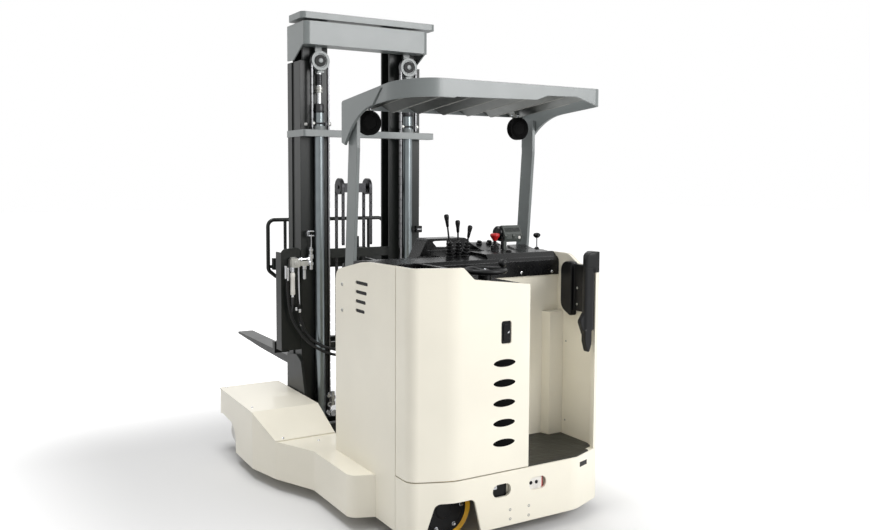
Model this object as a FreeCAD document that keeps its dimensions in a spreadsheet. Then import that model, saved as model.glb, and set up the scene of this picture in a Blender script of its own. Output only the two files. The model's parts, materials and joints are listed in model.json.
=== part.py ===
import FreeCAD, Part
import math
import os

import Sketcher
from FreeCAD import Placement, Rotation, Vector

# A stand-on, four-way, moving-mast reach truck.
# Frame: +X forward (towards the fork tips), +Y left, +Z up, millimetres.
# In the sheet, lengths along X are measured from the truck's rear face, and every
# sub-part's Placement moves it back by half the overall length, so that the origin
# is on the floor under the middle of the truck.

DIMENSIONS = {
    # body
    "fork_tip": 3420, "left_side": 570, "right_side": 595, "panel": 25, "sheet_wall": 12,
    "skirt_bottom": 60, "floor_top": 330, "seam": 212, "seam_gap": 6, "body_front": 895,
    "bend_left": 369, "bend_right": 365, "corner_left": 81, "corner_right": 92,
    "left_round": 70, "right_round": 85, "bend_round": 200,
    "door_edge": -58, "door_top": 1333, "bulkhead": 431, "bulkhead_thick": 24,
    "column_back": 378, "column_top": 1018, "wall_top": 1340, "wall_end": 530,
    "wall_step": 1290, "console_low": 1218,
    # legs
    "leg_start": 421, "leg_top": 274, "leg_inner": 449, "leg_flat": 690, "leg_flare": 919,
    "cover_start": 1187, "cover_step": 807, "cover_bend": 1425, "leg_widest": 860,
    "leg_end": 2099, "leg_end_side": 843, "cover_top": 393, "cover_plate": 6,
    "rail_low": 100, "rail_high": 230, "rail_depth": 33, "house_back": 1745, "house_top": 350,
    # wheels
    "drive_radius": 155, "drive_width": 100, "drive_offset": 30, "drive_band": 31,
    "drive_pin_x": 204, "drive_pin_y": 352,
    "load_radius": 150, "load_width": 120, "load_pin_x": 1918, "load_pin_y": 662,
    "caster_radius": 75, "caster_width": 50, "caster_trail": 45,
    "caster_pin_x": 215, "caster_pin_y": -320,
    # mast
    "mast_back": 1740, "mast_front": 1950, "mast_half": 425, "mast_low": 70, "mast_top": 2470,
    "outer_lip": 340, "flange": 16, "rail_flange": 15, "web": 12, "stage_gap": 6,
    "middle_tip": 399, "middle_web": 340, "middle_lip": 305, "middle_top": 2699,
    "inner_tip": 334, "inner_lip": 222, "inner_top": 2720, "top_plate": 40,
    "beam_back": 1635, "beam_low": 2558, "beam_half": 434,
    "cross_low": 2001, "cross_high": 2043, "cross_back": 1665, "cross_right": 490,
    "ram_x": 1704, "ram_y": 315, "ram_barrel": 31, "ram_rod": 15, "ram_top": 2150,
    "sheave_x": 1694, "sheave_y": 312, "sheave_z": 2468, "sheave_radius": 60,
    "chain_run": 55, "chain_pitch": 50.8, "ram_foot": 104,
    "head_x": 1870, "head_z": 1685, "head_half": 100,
    # carriage and forks
    "bar_back": 2240, "bar_front": 2280, "bar_half": 420, "shank_front": 2330,
    "fork_low": 453, "fork_top": 505, "shank_top": 1250, "fork_outer": 292, "fork_width": 120,
    "rest_top": 1457, "rest_half": 441, "rest_tube": 13,
    # overhead guard
    "guard_back": 130, "guard_front": 818, "guard_left": 562, "guard_right": 606,
    "guard_high": 2213, "guard_nose": 2146, "guard_plate": 10, "gusset_plate": 5,
}

doc = FreeCAD.newDocument("ReachTruck")
sheet = doc.addObject("Spreadsheet::Sheet", "Dimensions")
for row, (alias, number) in enumerate(DIMENSIONS.items(), start=1):
    sheet.set(f"A{row}", alias)
    sheet.set(f"B{row}", str(number))
    sheet.setAlias(f"B{row}", alias)
doc.recompute()


class Size:
    """A length that knows both its number and the sheet expression it comes from."""

    def __init__(self, number, text):
        self.number = float(number)
        self.text = text

    @staticmethod
    def of(other):
        return other if isinstance(other, Size) else Size(other, repr(float(other)))

    def join(self, sign, other, number):
        return Size(number, f"({self.text} {sign} {Size.of(other).text})")

    def __add__(self, other):
        return self.join("+", other, self.number + Size.of(other).number)

    def __sub__(self, other):
        return self.join("-", other, self.number - Size.of(other).number)

    def __mul__(self, other):
        return self.join("*", other, self.number * Size.of(other).number)

    def __truediv__(self, other):
        return self.join("/", other, self.number / Size.of(other).number)

    def __radd__(self, other):
        return Size.of(other) + self

    def __rsub__(self, other):
        return Size.of(other) - self

    def __rmul__(self, other):
        return Size.of(other) * self

    def __rtruediv__(self, other):
        return Size.of(other) / self

    def __neg__(self):
        return Size(-self.number, f"(-1 * {self.text})")


class Sheet:
    """Reads every alias of the sheet as a Size: dim.panel, dim.floor_top and so on."""

    def __getattr__(self, alias):
        return Size(sheet.get(alias), f"Dimensions.{alias}")


dim = Sheet()
origin_x = dim.fork_tip / 2


def root(size):
    return Size(math.sqrt(size.number), f"sqrt({size.text})")


def bind(thing, path, size):
    thing.setExpression(path, Size.of(size).text)


def place(thing, x=0, y=0, z=0, turn=None):
    """Placement in the truck's frame; x is counted from the rear face."""
    thing.Placement = Placement(Vector(0, 0, 0), turn or Rotation())
    bind(thing, ".Placement.Base.x", Size.of(x) - origin_x)
    bind(thing, ".Placement.Base.y", y)
    bind(thing, ".Placement.Base.z", z)


# ---------------------------------------------------------------- sketches
FIRST, LAST = 1, 2
PLANES = {"top": "XY_Plane", "side": "XZ_Plane", "rear": "YZ_Plane"}


def pin(sketch, index, end, x, y):
    """Fix one point of the sketch at x, y."""
    for kind, size in (("DistanceX", x), ("DistanceY", y)):
        size = Size.of(size)
        number = sketch.addConstraint(
            Sketcher.Constraint(kind, -1, 1, index, end, size.number))
        sketch.setExpression(f"Constraints[{number}]", size.text)


def draw_outline(sketch, corners):
    """A closed outline. A corner is (x, y), or (x, y, radius) where it is rounded."""
    flat = [(Size.of(c[0]).number, Size.of(c[1]).number) for c in corners]
    radii = [c[2] if len(c) > 2 else None for c in corners]
    count = len(corners)
    starts, ends, arcs = list(flat), list(flat), {}
    for i, radius in enumerate(radii):
        if radius is None:
            continue
        here = Vector(*flat[i], 0)
        back = (Vector(*flat[i - 1], 0) - here).normalize()
        ahead = (Vector(*flat[(i + 1) % count], 0) - here).normalize()
        half = back.getAngle(ahead) / 2
        reach = Size.of(radius).number / math.tan(half)
        centre = here + (back + ahead).normalize() * (Size.of(radius).number / math.sin(half))
        enter, leave = here + back * reach, here + ahead * reach
        ends[i], starts[i] = (enter.x, enter.y), (leave.x, leave.y)
        left_turn = back.cross(ahead).z < 0
        arcs[i] = (centre, enter, leave, left_turn)
    lines = []
    for i in range(count):
        nxt = (i + 1) % count
        lines.append(sketch.addGeometry(
            Part.LineSegment(Vector(*starts[i], 0), Vector(*ends[nxt], 0)), False))
    for i in range(count):
        before, after = lines[i - 1], lines[i]
        if i not in arcs:
            sketch.addConstraint(Sketcher.Constraint("Coincident", before, LAST, after, FIRST))
            pin(sketch, after, FIRST, corners[i][0], corners[i][1])
            continue
        centre, enter, leave, left_turn = arcs[i]
        radius = Size.of(radii[i])
        circle = Part.Circle(centre, Vector(0, 0, 1), radius.number)
        angles = [math.atan2(p.y - centre.y, p.x - centre.x) for p in (enter, leave)]
        if not left_turn:
            angles.reverse()
        arc = sketch.addGeometry(Part.ArcOfCircle(circle, *angles), False)
        arc_in, arc_out = (FIRST, LAST) if left_turn else (LAST, FIRST)
        sketch.addConstraint(Sketcher.Constraint("Tangent", before, LAST, arc, arc_in))
        sketch.addConstraint(Sketcher.Constraint("Tangent", arc, arc_out, after, FIRST))
        number = sketch.addConstraint(Sketcher.Constraint("Radius", arc, radius.number))
        sketch.setExpression(f"Constraints[{number}]", radius.text)
        corner = sketch.addGeometry(Part.Point(Vector(*flat[i], 0)), True)
        sketch.addConstraint(Sketcher.Constraint("PointOnObject", corner, FIRST, before))
        sketch.addConstraint(Sketcher.Constraint("PointOnObject", corner, FIRST, after))
        pin(sketch, corner, FIRST, corners[i][0], corners[i][1])


def draw_circle(sketch, x, y, radius):
    radius = Size.of(radius)
    centre = Vector(Size.of(x).number, Size.of(y).number, 0)
    index = sketch.addGeometry(Part.Circle(centre, Vector(0, 0, 1), radius.number), False)
    pin(sketch, index, 3, x, y)
    number = sketch.addConstraint(Sketcher.Constraint("Radius", index, radius.number))
    sketch.setExpression(f"Constraints[{number}]", radius.text)


class Piece:
    """A sub-part that is built feature by feature in a body of its own."""

    def __init__(self, label, placed=True):
        self.body = doc.addObject("PartDesign::Body", label)
        self.body.Label = label
        self.steps = 0
        if placed:
            place(self.body)

    def sketch(self, plane, at, outlines, circles=()):
        """Sketch parallel to one of the body's own planes. "top" reads X, Y; "side" X, Z;
        "rear" Y, Z. at is the sketch's place along the third axis."""
        self.steps += 1
        made = self.body.newObject("Sketcher::SketchObject", f"{self.body.Name}_sketch")
        support = [f for f in self.body.Origin.OriginFeatures if f.Role == PLANES[plane]][0]
        made.AttachmentSupport = [(support, "")]
        made.MapMode = "FlatFace"
        bind(made, ".AttachmentOffset.Base.z", -Size.of(at) if plane == "side" else at)
        for corners in outlines:
            draw_outline(made, corners)
        for circle in circles:
            draw_circle(made, *circle)
        return made

    def add(self, plane, low, high, *outlines, circles=()):
        """Pad the outlines from low to high along the plane's third axis."""
        made = self.sketch(plane, high if plane == "side" else low, outlines, circles)
        pad = self.body.newObject("PartDesign::Pad", f"{self.body.Name}_pad")
        pad.Profile = made
        bind(pad, "Length", Size.of(high) - low)
        return self

    def cut(self, plane, low, high, *outlines, circles=()):
        """Pocket the outlines from low to high along the plane's third axis."""
        made = self.sketch(plane, low if plane == "side" else high, outlines, circles)
        pocket = self.body.newObject("PartDesign::Pocket", f"{self.body.Name}_pocket")
        pocket.Profile = made
        bind(pocket, "Length", Size.of(high) - low)
        return self

    def turn(self, plane, axis, *outlines):
        """Revolve the outlines, drawn beside the plane's own axis."""
        made = self.sketch(plane, 0, outlines)
        revolve = self.body.newObject("PartDesign::Revolution", f"{self.body.Name}_turn")
        revolve.Profile = made
        revolve.ReferenceAxis = (made, [axis])
        revolve.Angle = 360
        return self


def rectangle(x0, x1, y0, y1, radius=None):
    corners = [(x0, y0), (x1, y0), (x1, y1), (x0, y1)]
    return [c + (radius,) for c in corners] if radius is not None else corners


def both_sides(corners):
    """The outline and its mirror image across the truck's middle."""
    other = [(c[0], -Size.of(c[1])) + tuple(c[2:]) for c in reversed(corners)]
    return corners, other


def mirrored(source, label):
    """The same sub-part on the truck's other side."""
    made = doc.addObject("Part::Mirroring", label)
    made.Label = label
    made.Source = source.body if isinstance(source, Piece) else source
    made.Base = Vector(0, 0, 0)
    made.Normal = Vector(0, 1, 0)
    return made


def shape_part(label, shape):
    """A sub-part whose shape is made with Part's own functions."""
    made = doc.addObject("Part::Feature", label)
    made.Label = label
    made.Shape = shape
    place(made)
    return made


def seated(shape, *supports):
    """The shape with what its supports already fill taken away, so that it sits on them."""
    doc.recompute()
    for support in supports:
        part = support.body if isinstance(support, Piece) else support
        filled = part.Shape.copy()
        filled.Placement = FreeCAD.Placement()
        shape = shape.cut(filled)
    return shape


def tube(points, radius, bends):
    """A round bar along straight runs joined by tangent arcs."""
    spots = [Vector(*[Size.of(c).number for c in p]) for p in points]
    edges, last = [], spots[0]
    for i in range(1, len(spots) - 1):
        back = (spots[i - 1] - spots[i]).normalize()
        ahead = (spots[i + 1] - spots[i]).normalize()
        half = back.getAngle(ahead) / 2
        bend = bends[i - 1] if isinstance(bends, (list, tuple)) else bends
        reach = bend / math.tan(half)
        enter, leave = spots[i] + back * reach, spots[i] + ahead * reach
        middle_way = (back + ahead).normalize()
        middle = spots[i] + middle_way * (bend / math.sin(half) - bend)
        edges.append(Part.LineSegment(last, enter).toShape())
        edges.append(Part.Arc(enter, middle, leave).toShape())
        last = leave
    edges.append(Part.LineSegment(last, spots[-1]).toShape())
    path = Part.Wire(edges)
    way = edges[0].tangentAt(edges[0].FirstParameter)
    ring = Part.Wire(Part.makeCircle(Size.of(radius).number, spots[0], way))
    return path.makePipeShell([ring], True, False)


# ---------------------------------------------------------------- body shell
def slope(side, bend, corner):
    """Run of the slanted rear corner: x gained for each unit of y."""
    return corner / (side - bend)


def corner_point(side, bend, corner, inset):
    """Where the inset side plane meets the inset slanted rear corner."""
    run = slope(side, bend, corner)
    return (side - inset - bend) * run + inset * root(1 + run * run)


def bend_point(side, bend, corner, inset):
    """y where the inset slanted corner meets the inset rear face."""
    run = slope(side, bend, corner)
    return bend + inset * (1 - root(1 + run * run)) / run


LEFT_CORNER = (dim.left_side, dim.bend_left, dim.corner_left)
RIGHT_CORNER = (dim.right_side, dim.bend_right, dim.corner_right)


def make_base_frame():
    thick = dim.sheet_wall
    web_front = dim.bulkhead + dim.bulkhead_thick / 2
    tray_half = dim.leg_inner - 4
    base = Piece("base_frame")
    base.add("top", dim.skirt_bottom, dim.floor_top, [
        (dim.seam, dim.left_side),
        (corner_point(*LEFT_CORNER, 0), dim.left_side, dim.left_round),
        (0, bend_point(*LEFT_CORNER, 0), dim.bend_round),
        (0, -bend_point(*RIGHT_CORNER, 0), dim.bend_round),
        (corner_point(*RIGHT_CORNER, 0), -dim.right_side, dim.right_round),
        (dim.leg_start, -dim.right_side),
        (dim.leg_start, -tray_half),
        (dim.body_front, -tray_half),
        (dim.body_front, tray_half),
        (dim.leg_start, tray_half),
        (dim.leg_start, dim.left_side - dim.panel),
        (dim.seam, dim.left_side - dim.panel),
    ])
    # drive bay, open above and below
    bay = dim.door_edge + 12
    base.cut("top", dim.skirt_bottom - 1, dim.floor_top + 1, [
        (dim.leg_start - thick, dim.left_side - dim.panel - thick),
        (corner_point(*LEFT_CORNER, thick), dim.left_side - thick - 13, dim.left_round),
        (thick, bend_point(*LEFT_CORNER, thick), dim.bend_round),
        (thick, bay + thick),
        (dim.leg_start - thick, bay + thick),
    ])
    # hollow under the operator's floor
    base.cut("top", dim.skirt_bottom - 1, dim.floor_top - thick, [
        (thick, bay),
        (thick, -bend_point(*RIGHT_CORNER, thick), dim.bend_round),
        (corner_point(*RIGHT_CORNER, thick), -(dim.right_side - thick), dim.right_round),
        (dim.leg_start - thick, -(dim.right_side - thick)),
        (dim.leg_start - thick, bay),
    ])
    # battery tray
    base.cut("top", dim.skirt_bottom + 42, dim.floor_top + 1, rectangle(
        web_front, dim.body_front - thick, -(tray_half - thick), tray_half - thick))
    # drive wheel arch
    base.cut("rear", -10, 118, [
        (212, dim.skirt_bottom - 20), (258, 228, 30), (452, 228, 34), (508, dim.skirt_bottom - 20)])
    # two towing pockets
    for y in (99, -117):
        base.cut("rear", -1, thick + 1, rectangle(y - 53, y + 53, 209, 273, 31))
    return base


def side_profile(back, low, top, front_top):
    """Side panel seen from the side, standing on the leg's top."""
    return [
        (back, low), (dim.leg_start, low), (dim.leg_start, dim.leg_top),
        (dim.body_front, dim.leg_top), (dim.body_front, front_top, 70),
        (560, top - 7, 600), (back, top)]


def make_left_panel():
    panel = Piece("left_body_panel")
    panel.add("side", dim.left_side - dim.panel, dim.left_side,
              side_profile(dim.seam + dim.seam_gap / 2, dim.skirt_bottom, dim.door_top, 1256))
    for i in range(4):
        z = 1215 - 48 * i
        panel.cut("side", dim.left_side - dim.panel - 1, dim.left_side + 1,
                  rectangle(506 + 12 * i, 645, z - 9, z + 9, 8.5))
    return panel


def make_right_panel():
    inner = dim.panel
    edge_y = dim.wall_end
    run = slope(*RIGHT_CORNER)
    edge_x = (edge_y - dim.bend_right) * run
    panel = Piece("right_body_panel")
    panel.add("top", dim.floor_top, dim.wall_top, [
        (edge_x, -edge_y),
        (corner_point(*RIGHT_CORNER, 0), -dim.right_side, dim.right_round),
        (dim.body_front, -dim.right_side),
        (dim.body_front, -(dim.right_side - inner)),
        (corner_point(*RIGHT_CORNER, inner), -(dim.right_side - inner), dim.right_round - inner),
        (edge_x + inner + 1, -edge_y),
    ])
    panel.add("top", dim.leg_top, dim.floor_top, rectangle(
        dim.leg_start, dim.body_front, -dim.right_side, -(dim.right_side - inner)))
    panel.cut("side", -(dim.right_side + 1), -(dim.right_side - inner - 1), [
        (560, dim.wall_top, 500), (dim.body_front + 5, 1254), (dim.body_front + 5, dim.wall_top + 9),
        (300, dim.wall_top + 9), (300, dim.wall_top)])
    # the top steps down towards the rear end
    panel.cut("side", -(dim.right_side + 1), -(edge_y - 1), [
        (30, dim.wall_step), (262, dim.wall_step, 60), (345, dim.wall_top, 90),
        (400, dim.wall_top), (400, dim.wall_top + 9), (30, dim.wall_top + 9)])
    return panel


def make_door():
    half_gap = dim.seam_gap / 2
    edge = dim.seam - half_gap
    thick = dim.panel
    door = Piece("rear_door")
    door.add("top", dim.floor_top + dim.seam_gap, dim.door_top, [
        (edge, dim.left_side),
        (corner_point(*LEFT_CORNER, 0), dim.left_side, dim.left_round),
        (0, bend_point(*LEFT_CORNER, 0), dim.bend_round),
        (0, dim.door_edge),
        (thick, dim.door_edge),
        (thick, bend_point(*LEFT_CORNER, thick), dim.bend_round - thick),
        (corner_point(*LEFT_CORNER, thick), dim.left_side - thick, dim.left_round - thick),
        (edge, dim.left_side - thick),
    ])
    door.cut("rear", -1, 60, [
        (325, dim.door_top), (265, 1275, 30), (60, 1251), (dim.door_edge - 2, 1237),
        (dim.door_edge - 2, dim.door_top + 5), (325, dim.door_top + 5)])
    for i in range(5):
        z = 865 - 97.25 * i
        door.cut("rear", -1, thick + 1, [
            (33, z, 6), (62, z + 17, 40), (118, z + 17, 40), (147, z, 6), (118, z - 17, 40),
            (62, z - 17, 40)])
    door.cut("rear", -1, 8, rectangle(52, 111, 957, 1068, 12))
    return door


def make_latch():
    latch = Piece("door_latch")
    latch.add("rear", 5, 8, rectangle(54, 109, 959, 1066, 10))
    latch.add("rear", 1, 5, rectangle(66, 97, 985, 1005, 4))
    return latch


def make_bulkhead():
    """Cross wall, the drive bay's partition and the corner column, in one weldment."""
    front = dim.bulkhead + dim.bulkhead_thick
    right = -(dim.right_side - dim.panel)
    wall = Piece("compartment_wall")
    wall.add("top", dim.floor_top, dim.console_low, [
        (dim.panel + 7, dim.door_edge), (dim.bulkhead, dim.door_edge), (dim.bulkhead, right),
        (front, right), (front, dim.left_side - dim.panel), (dim.bulkhead, dim.left_side - dim.panel),
        (dim.bulkhead, dim.door_edge + 24), (dim.panel + 7, dim.door_edge + 24)])
    wall.add("top", dim.floor_top, dim.column_top, [
        (dim.bulkhead + 1, -463), (dim.column_back, -480), (dim.column_back, right),
        (dim.bulkhead + 1, right)])
    return wall


def make_front_panel():
    panel = Piece("front_body_panel")
    panel.add("top", dim.floor_top, 1250, rectangle(
        dim.body_front - dim.panel, dim.body_front,
        -(dim.right_side - dim.panel), dim.left_side - dim.panel))
    panel.add("top", dim.leg_top, dim.floor_top, rectangle(
        dim.body_front - dim.panel, dim.body_front, dim.leg_inner, dim.left_side - dim.panel),
        rectangle(dim.body_front - dim.panel, dim.body_front,
                  -(dim.right_side - dim.panel), -dim.leg_inner))
    return panel


def make_battery():
    block = Piece("battery")
    block.add("top", dim.skirt_bottom + 42, 1060, rectangle(468, 858, -425, 425))
    return block


def make_floor_mat():
    mat = Piece("floor_mat")
    mat.add("top", dim.floor_top, dim.floor_top + 6, [
        (8, dim.door_edge - 6), (8, -372), (53, -485), (84, -486), (108, -545), (150, -562),
        (dim.column_back - 3, -562), (dim.column_back - 3, -478), (dim.bulkhead - 3, -461),
        (dim.bulkhead - 3, dim.door_edge - 6)])
    return mat


POST_FOOT = 1250


def rest_height(x):
    """Top of the arm rest at x."""
    return 1336 + (x - 470) * 0.1034


def make_console():
    """Moulded dashboard: deck, rolled rear edge, instrument hood, tray, cup and arm rest."""
    right = -(dim.right_side - dim.panel - 2)
    left = dim.left_side - dim.panel - 2
    front = dim.body_front - dim.panel
    console = Piece("console")
    console.add("side", right, left, [
        (420, dim.console_low), (front, dim.console_low), (front, 1290, 20), (700, 1318),
        (560, 1330, 60), (436, 1318, 12), (420, 1300)])
    # instrument hood with sloping ends, and its window over the grab rail
    console.add("rear", 745, 862, [
        (148, 1300), (136, 1322, 14), (88, 1414, 26), (-161, 1414, 40), (-237, 1342, 30),
        (-250, 1300)])
    console.cut("rear", 744, 755, [
        (78, 1398, 10), (-118, 1398, 22), (-160, 1350, 20), (106, 1350, 12)])
    console.cut("rear", 740, 870, [(54, 1400, 6), (-60, 1400, 6), (-60, 1364, 6), (22, 1366, 8)])
    console.cut("rear", 786, 870, [(72, 1402), (-150, 1402), (-150, 1352), (30, 1352)])
    # control shelf on the right, rising to the connector panel at the front
    console.add("side", right, -110, [
        (424, 1290), (front, 1290), (front, 1346), (600, 1346), (470, 1343, 12), (424, 1304, 6)])
    console.add("side", -400, -215, [
        (640, 1340), (front, 1340), (front, 1378, 14), (780, 1378, 20), (655, 1345)])
    # ribbed arm rest, rising to the front and turned a little towards the operator
    console.add("top", 1335, 1380, [
        (740, -442, 8), (740, right + 3, 8), (490, -500, 14), (490, -365, 14)])
    console.cut("side", right - 1, -350, [
        (488, rest_height(488)), (745, rest_height(745)), (745, 1384), (488, 1384)])
    for i in range(4):
        x = 600 + 30 * i
        z = rest_height(x)
        console.cut("side", right + 20, -380, [(x, z - 3), (x + 4, z - 3), (x + 4, 1384), (x, 1384)])
    # deck behind the door, under the steering wheel
    console.add("top", dim.console_low, 1236, rectangle(
        dim.panel + 8, 421, dim.door_edge + 8, 330))
    inset = dim.panel + 8
    console.add("top", dim.console_low, 1322, [
        (421, left), (220, left), (220, dim.left_side - inset),
        (corner_point(*LEFT_CORNER, inset), dim.left_side - inset, 40),
        (inset, bend_point(*LEFT_CORNER, inset)), (inset, 328), (421, 328)])
    # storage tray on the left and cup well beside the levers
    console.cut("top", 1282, 1360, [
        (140, 352, 24), (140, 470, 30), (330, 505, 30), (398, 450, 40), (398, 352, 24)])
    console.cut("top", 1296, 1400, [
        (600, -138, 24), (690, -138, 30), (700, -205, 24), (626, -225, 30)])
    # socket of the stop button
    console.add("top", 1340, 1364, circles=[(624, -277, 23)])
    # collar of the steering wheel, and slots for the guard's posts
    console.add("top", 1230, 1264, circles=[(250, 40, 34)])
    console.cut("top", POST_FOOT, 1420, rectangle(729, 840, 518, left + 5),
                rectangle(729, 840, right - 5, -530))
    return console


def make_levers(console):
    """Three hydraulic levers in bellows, and the small lever on the right."""
    solids = []
    for y, top in ((49, (568, 76, 1556)), (2, (562, 8, 1524)), (-37, (562, -74, 1494))):
        base = Vector(560, y, 1322)
        way = (Vector(*top) - base).normalize()
        length = (Vector(*top) - base).Length
        pieces = [Part.makeCylinder(5, length, base, way)]
        for ring in range(4):
            radius = 25 - 2.5 * ring
            foot = base + way * (4 + 19 * ring)
            pieces.append(Part.makeCone(radius, radius - 7, 20, foot, way))
        pieces.append(Part.makeCone(7.5, 13.5, 66, base + way * (length - 66), way))
        solids.append(pieces[0].fuse(pieces[1:]).removeSplitter())
    small = Part.makeCylinder(4, 84, Vector(603, -553, 1340))
    solids.append(small.fuse(Part.makeCone(8, 22, 22, Vector(603, -553, 1414))).removeSplitter())
    solids = [seated(solid, console) for solid in solids]
    return shape_part("control_levers", Part.makeCompound(solids))


def make_controls(console):
    """Mushroom stop button, and the display box on its pillar."""
    x, y = 624, -277
    stem = Part.makeCylinder(9, 60, Vector(x, y, 1345))
    head = Part.makeCone(12, 27, 30, Vector(x, y, 1400))
    crown = Part.makeCone(27, 23, 12, Vector(x, y, 1430))
    shape_part("stop_button", seated(stem.fuse([head, crown]).removeSplitter(), console))
    box = Piece("display_unit")
    box.add("side", -470, -350, [
        (640, 1388, 6), (730, 1394, 8), (735, 1456, 10), (662, 1484, 12), (628, 1424, 8)])
    box.add("side", -366, -346, rectangle(636, 655, 1346, 1392))
    for y in (-440, -385):
        box.cut("rear", 620, 634, rectangle(y - 20, y + 20, 1398, 1438, 4))
    return box


def make_steering():
    wheel = Piece("steering_wheel", placed=False)
    wheel.turn("side", "V_Axis", [
        (90, -5), (96, -11), (106, -11), (112, -5), (112, 5), (106, 11), (96, 11), (90, 5)])
    wheel.add("top", -14, 2, circles=[(0, 0, 26)])
    wheel.add("top", -8, 6, [(-96, -14), (96, -14), (96, 14), (-96, 14)])
    wheel.add("top", 5, 16, circles=[(0, -103, 9)])
    wheel.add("top", 15, 45, circles=[(0, -103, 19)])
    wheel.cut("top", 38, 46, circles=[(0, -103, 30), (0, -103, 14)])
    place(wheel.body, 250, 40, 1285)
    return wheel


def make_back_pad():
    """Cushion along the right wall, and the moulded upright that caps the wall's rear end."""
    wall = -(dim.right_side - dim.panel)
    end = 0.5 - dim.wall_end
    pad = Piece("back_pad")
    pad.add("side", wall, wall + 42, [
        (355, 1303, 52), (264, 1303), (264, 1000, 12), (355, 1044, 60)])
    pad.add("side", wall, wall + 20, rectangle(180, 265, 1035, 1290))
    pad.add("top", 960, dim.wall_step, [
        (73, end), (60, -506, 10), (64, -456, 14), (97, -465, 14), (130, -522, 12), (126, -546),
        (190, -546), (190, -560), (116, -551), (96, end)])
    pad.add("top", dim.wall_step, 1372, [
        (69, -547), (57, -549, 5), (51, -520, 10), (64, -456, 14), (97, -465, 14), (130, -522, 12),
        (124, -546)])
    pad.add("top", 1262, dim.wall_step + 1, [
        (69, -547), (57, -549, 5), (51, -520, 10), (60, -506), (73, end), (64.5, end)])
    # grip under the upright
    pad.add("top", 850, 961, [(66, -460, 8), (58, -502, 8), (80, -512, 8), (98, -472, 10)])
    pad.cut("rear", 50, 110, [(-440, 846), (-474, 846, 16), (-455, 912), (-440, 912)])
    pad.cut("rear", 50, 110, [(-520, 846), (-497, 846, 14), (-508, 890), (-520, 890)])
    pad.add("rear", 72, 102, [
        (-480, 1062), (-462, 1052), (-434, 1010, 22), (-462, 940), (-480, 930)])
    # the cap's inner corner is rounded off
    pad.cut("rear", 45, 140, [
        (-450, 1310), (-456.5, 1310), (-466, 1352, 30), (-500, 1374), (-450, 1374)])
    return pad


# ---------------------------------------------------------------- legs
def leg_outline():
    return [
        (dim.leg_start, dim.leg_inner), (dim.leg_end, dim.leg_inner),
        (dim.leg_end, dim.leg_end_side, 12), (dim.cover_bend, dim.leg_widest),
        (dim.cover_start, dim.cover_step), (dim.leg_flare, dim.leg_flat, 60),
        (dim.leg_start + 49, dim.leg_flat, 60), (dim.leg_start, dim.left_side)]


def make_leg():
    skin = dim.sheet_wall
    top = dim.cover_top - dim.cover_plate
    leg = Piece("left_leg")
    leg.add("top", dim.skirt_bottom, top, leg_outline())
    # everything above the leg's top line
    leg.cut("side", dim.leg_inner - 1, dim.leg_widest + 1, [
        (dim.leg_start - 1, dim.leg_top), (dim.cover_start, dim.leg_top),
        (dim.cover_bend, top), (dim.cover_bend, top + 20), (dim.leg_start - 1, top + 20)])
    # reach rail
    leg.cut("side", dim.leg_inner - 1, dim.leg_inner + dim.rail_depth, rectangle(
        dim.body_front + 5, dim.leg_end - 24, dim.rail_low, dim.rail_high))
    # wheel house, open below
    house_in = dim.leg_inner + dim.rail_depth + 10
    leg.cut("top", dim.skirt_bottom - 1, dim.house_top, [
        (dim.house_back, house_in), (dim.leg_end - skin, house_in),
        (dim.leg_end - skin, dim.leg_end_side - skin), (dim.house_back, dim.leg_end_side - skin)])
    # wheel opening through the outer side plate and under the front
    leg.cut("side", house_in, dim.leg_widest + 5, [
        (1762, dim.skirt_bottom - 5), (1762, 222, 100), (2040, 238), (dim.leg_end + 5, 226),
        (dim.leg_end + 5, dim.skirt_bottom - 5)])
    return leg


def make_wheel_covers():
    lip = 4
    plate = dim.cover_plate
    top = dim.cover_top
    cover = Piece("wheel_covers")
    cover.add("top", dim.leg_top - 2, top, *both_sides([
        (dim.cover_start - 12, dim.leg_inner), (dim.leg_end + 2, dim.leg_inner),
        (dim.leg_end + 2, dim.leg_end_side + lip, 14), (dim.cover_bend, dim.leg_widest + lip),
        (dim.cover_start - 12, dim.cover_step + lip - 3, 20)]))
    far = dim.leg_widest + 20
    cover.cut("side", -far, far, [
        (dim.cover_start - 20, dim.leg_top + plate), (dim.cover_start, dim.leg_top + plate),
        (dim.cover_bend, top), (dim.cover_bend, top + 20), (dim.cover_start - 20, top + 20)])
    cover.cut("side", -far, far, [
        (dim.cover_start - 20, dim.leg_top - 5), (dim.leg_end + 10, dim.leg_top - 5),
        (dim.leg_end + 10, top - plate), (dim.cover_bend, top - plate),
        (dim.cover_start, dim.leg_top), (dim.cover_start - 20, dim.leg_top)])
    return cover


# ---------------------------------------------------------------- wheels
def make_wheel(hub_label, tyre_label, radius, width, band, x, y, turn):
    """Hub and tyre turned about one axle, then stood up at x, y on the floor."""
    rim = Size.of(radius) - band
    half = Size.of(width) / 2
    tyre = Piece(tyre_label, placed=False)
    edge = 7
    tyre.turn("side", "V_Axis", [
        (rim, -half), (radius - edge, -half), (radius, edge - half), (radius, half - edge),
        (radius - edge, half), (rim, half)])
    place(tyre.body, x, y, radius, turn)
    hub = Piece(hub_label, placed=False)
    hub.turn("side", "V_Axis", [
        (12, 6 - half), (38, 6 - half), (44, 16 - half), (rim * 0.8, 18 - half),
        (rim * 0.88, 2 - half), (rim, 2 - half), (rim, half - 2), (rim * 0.88, half - 2),
        (rim * 0.8, half - 18), (44, half - 16), (38, half - 6), (12, half - 6)])
    place(hub.body, x, y, radius, turn)
    return hub, tyre


AXLE_ALONG_X = Rotation(Vector(0, 1, 0), -90)
AXLE_ALONG_Y = Rotation(Vector(1, 0, 0), 90)


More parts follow.
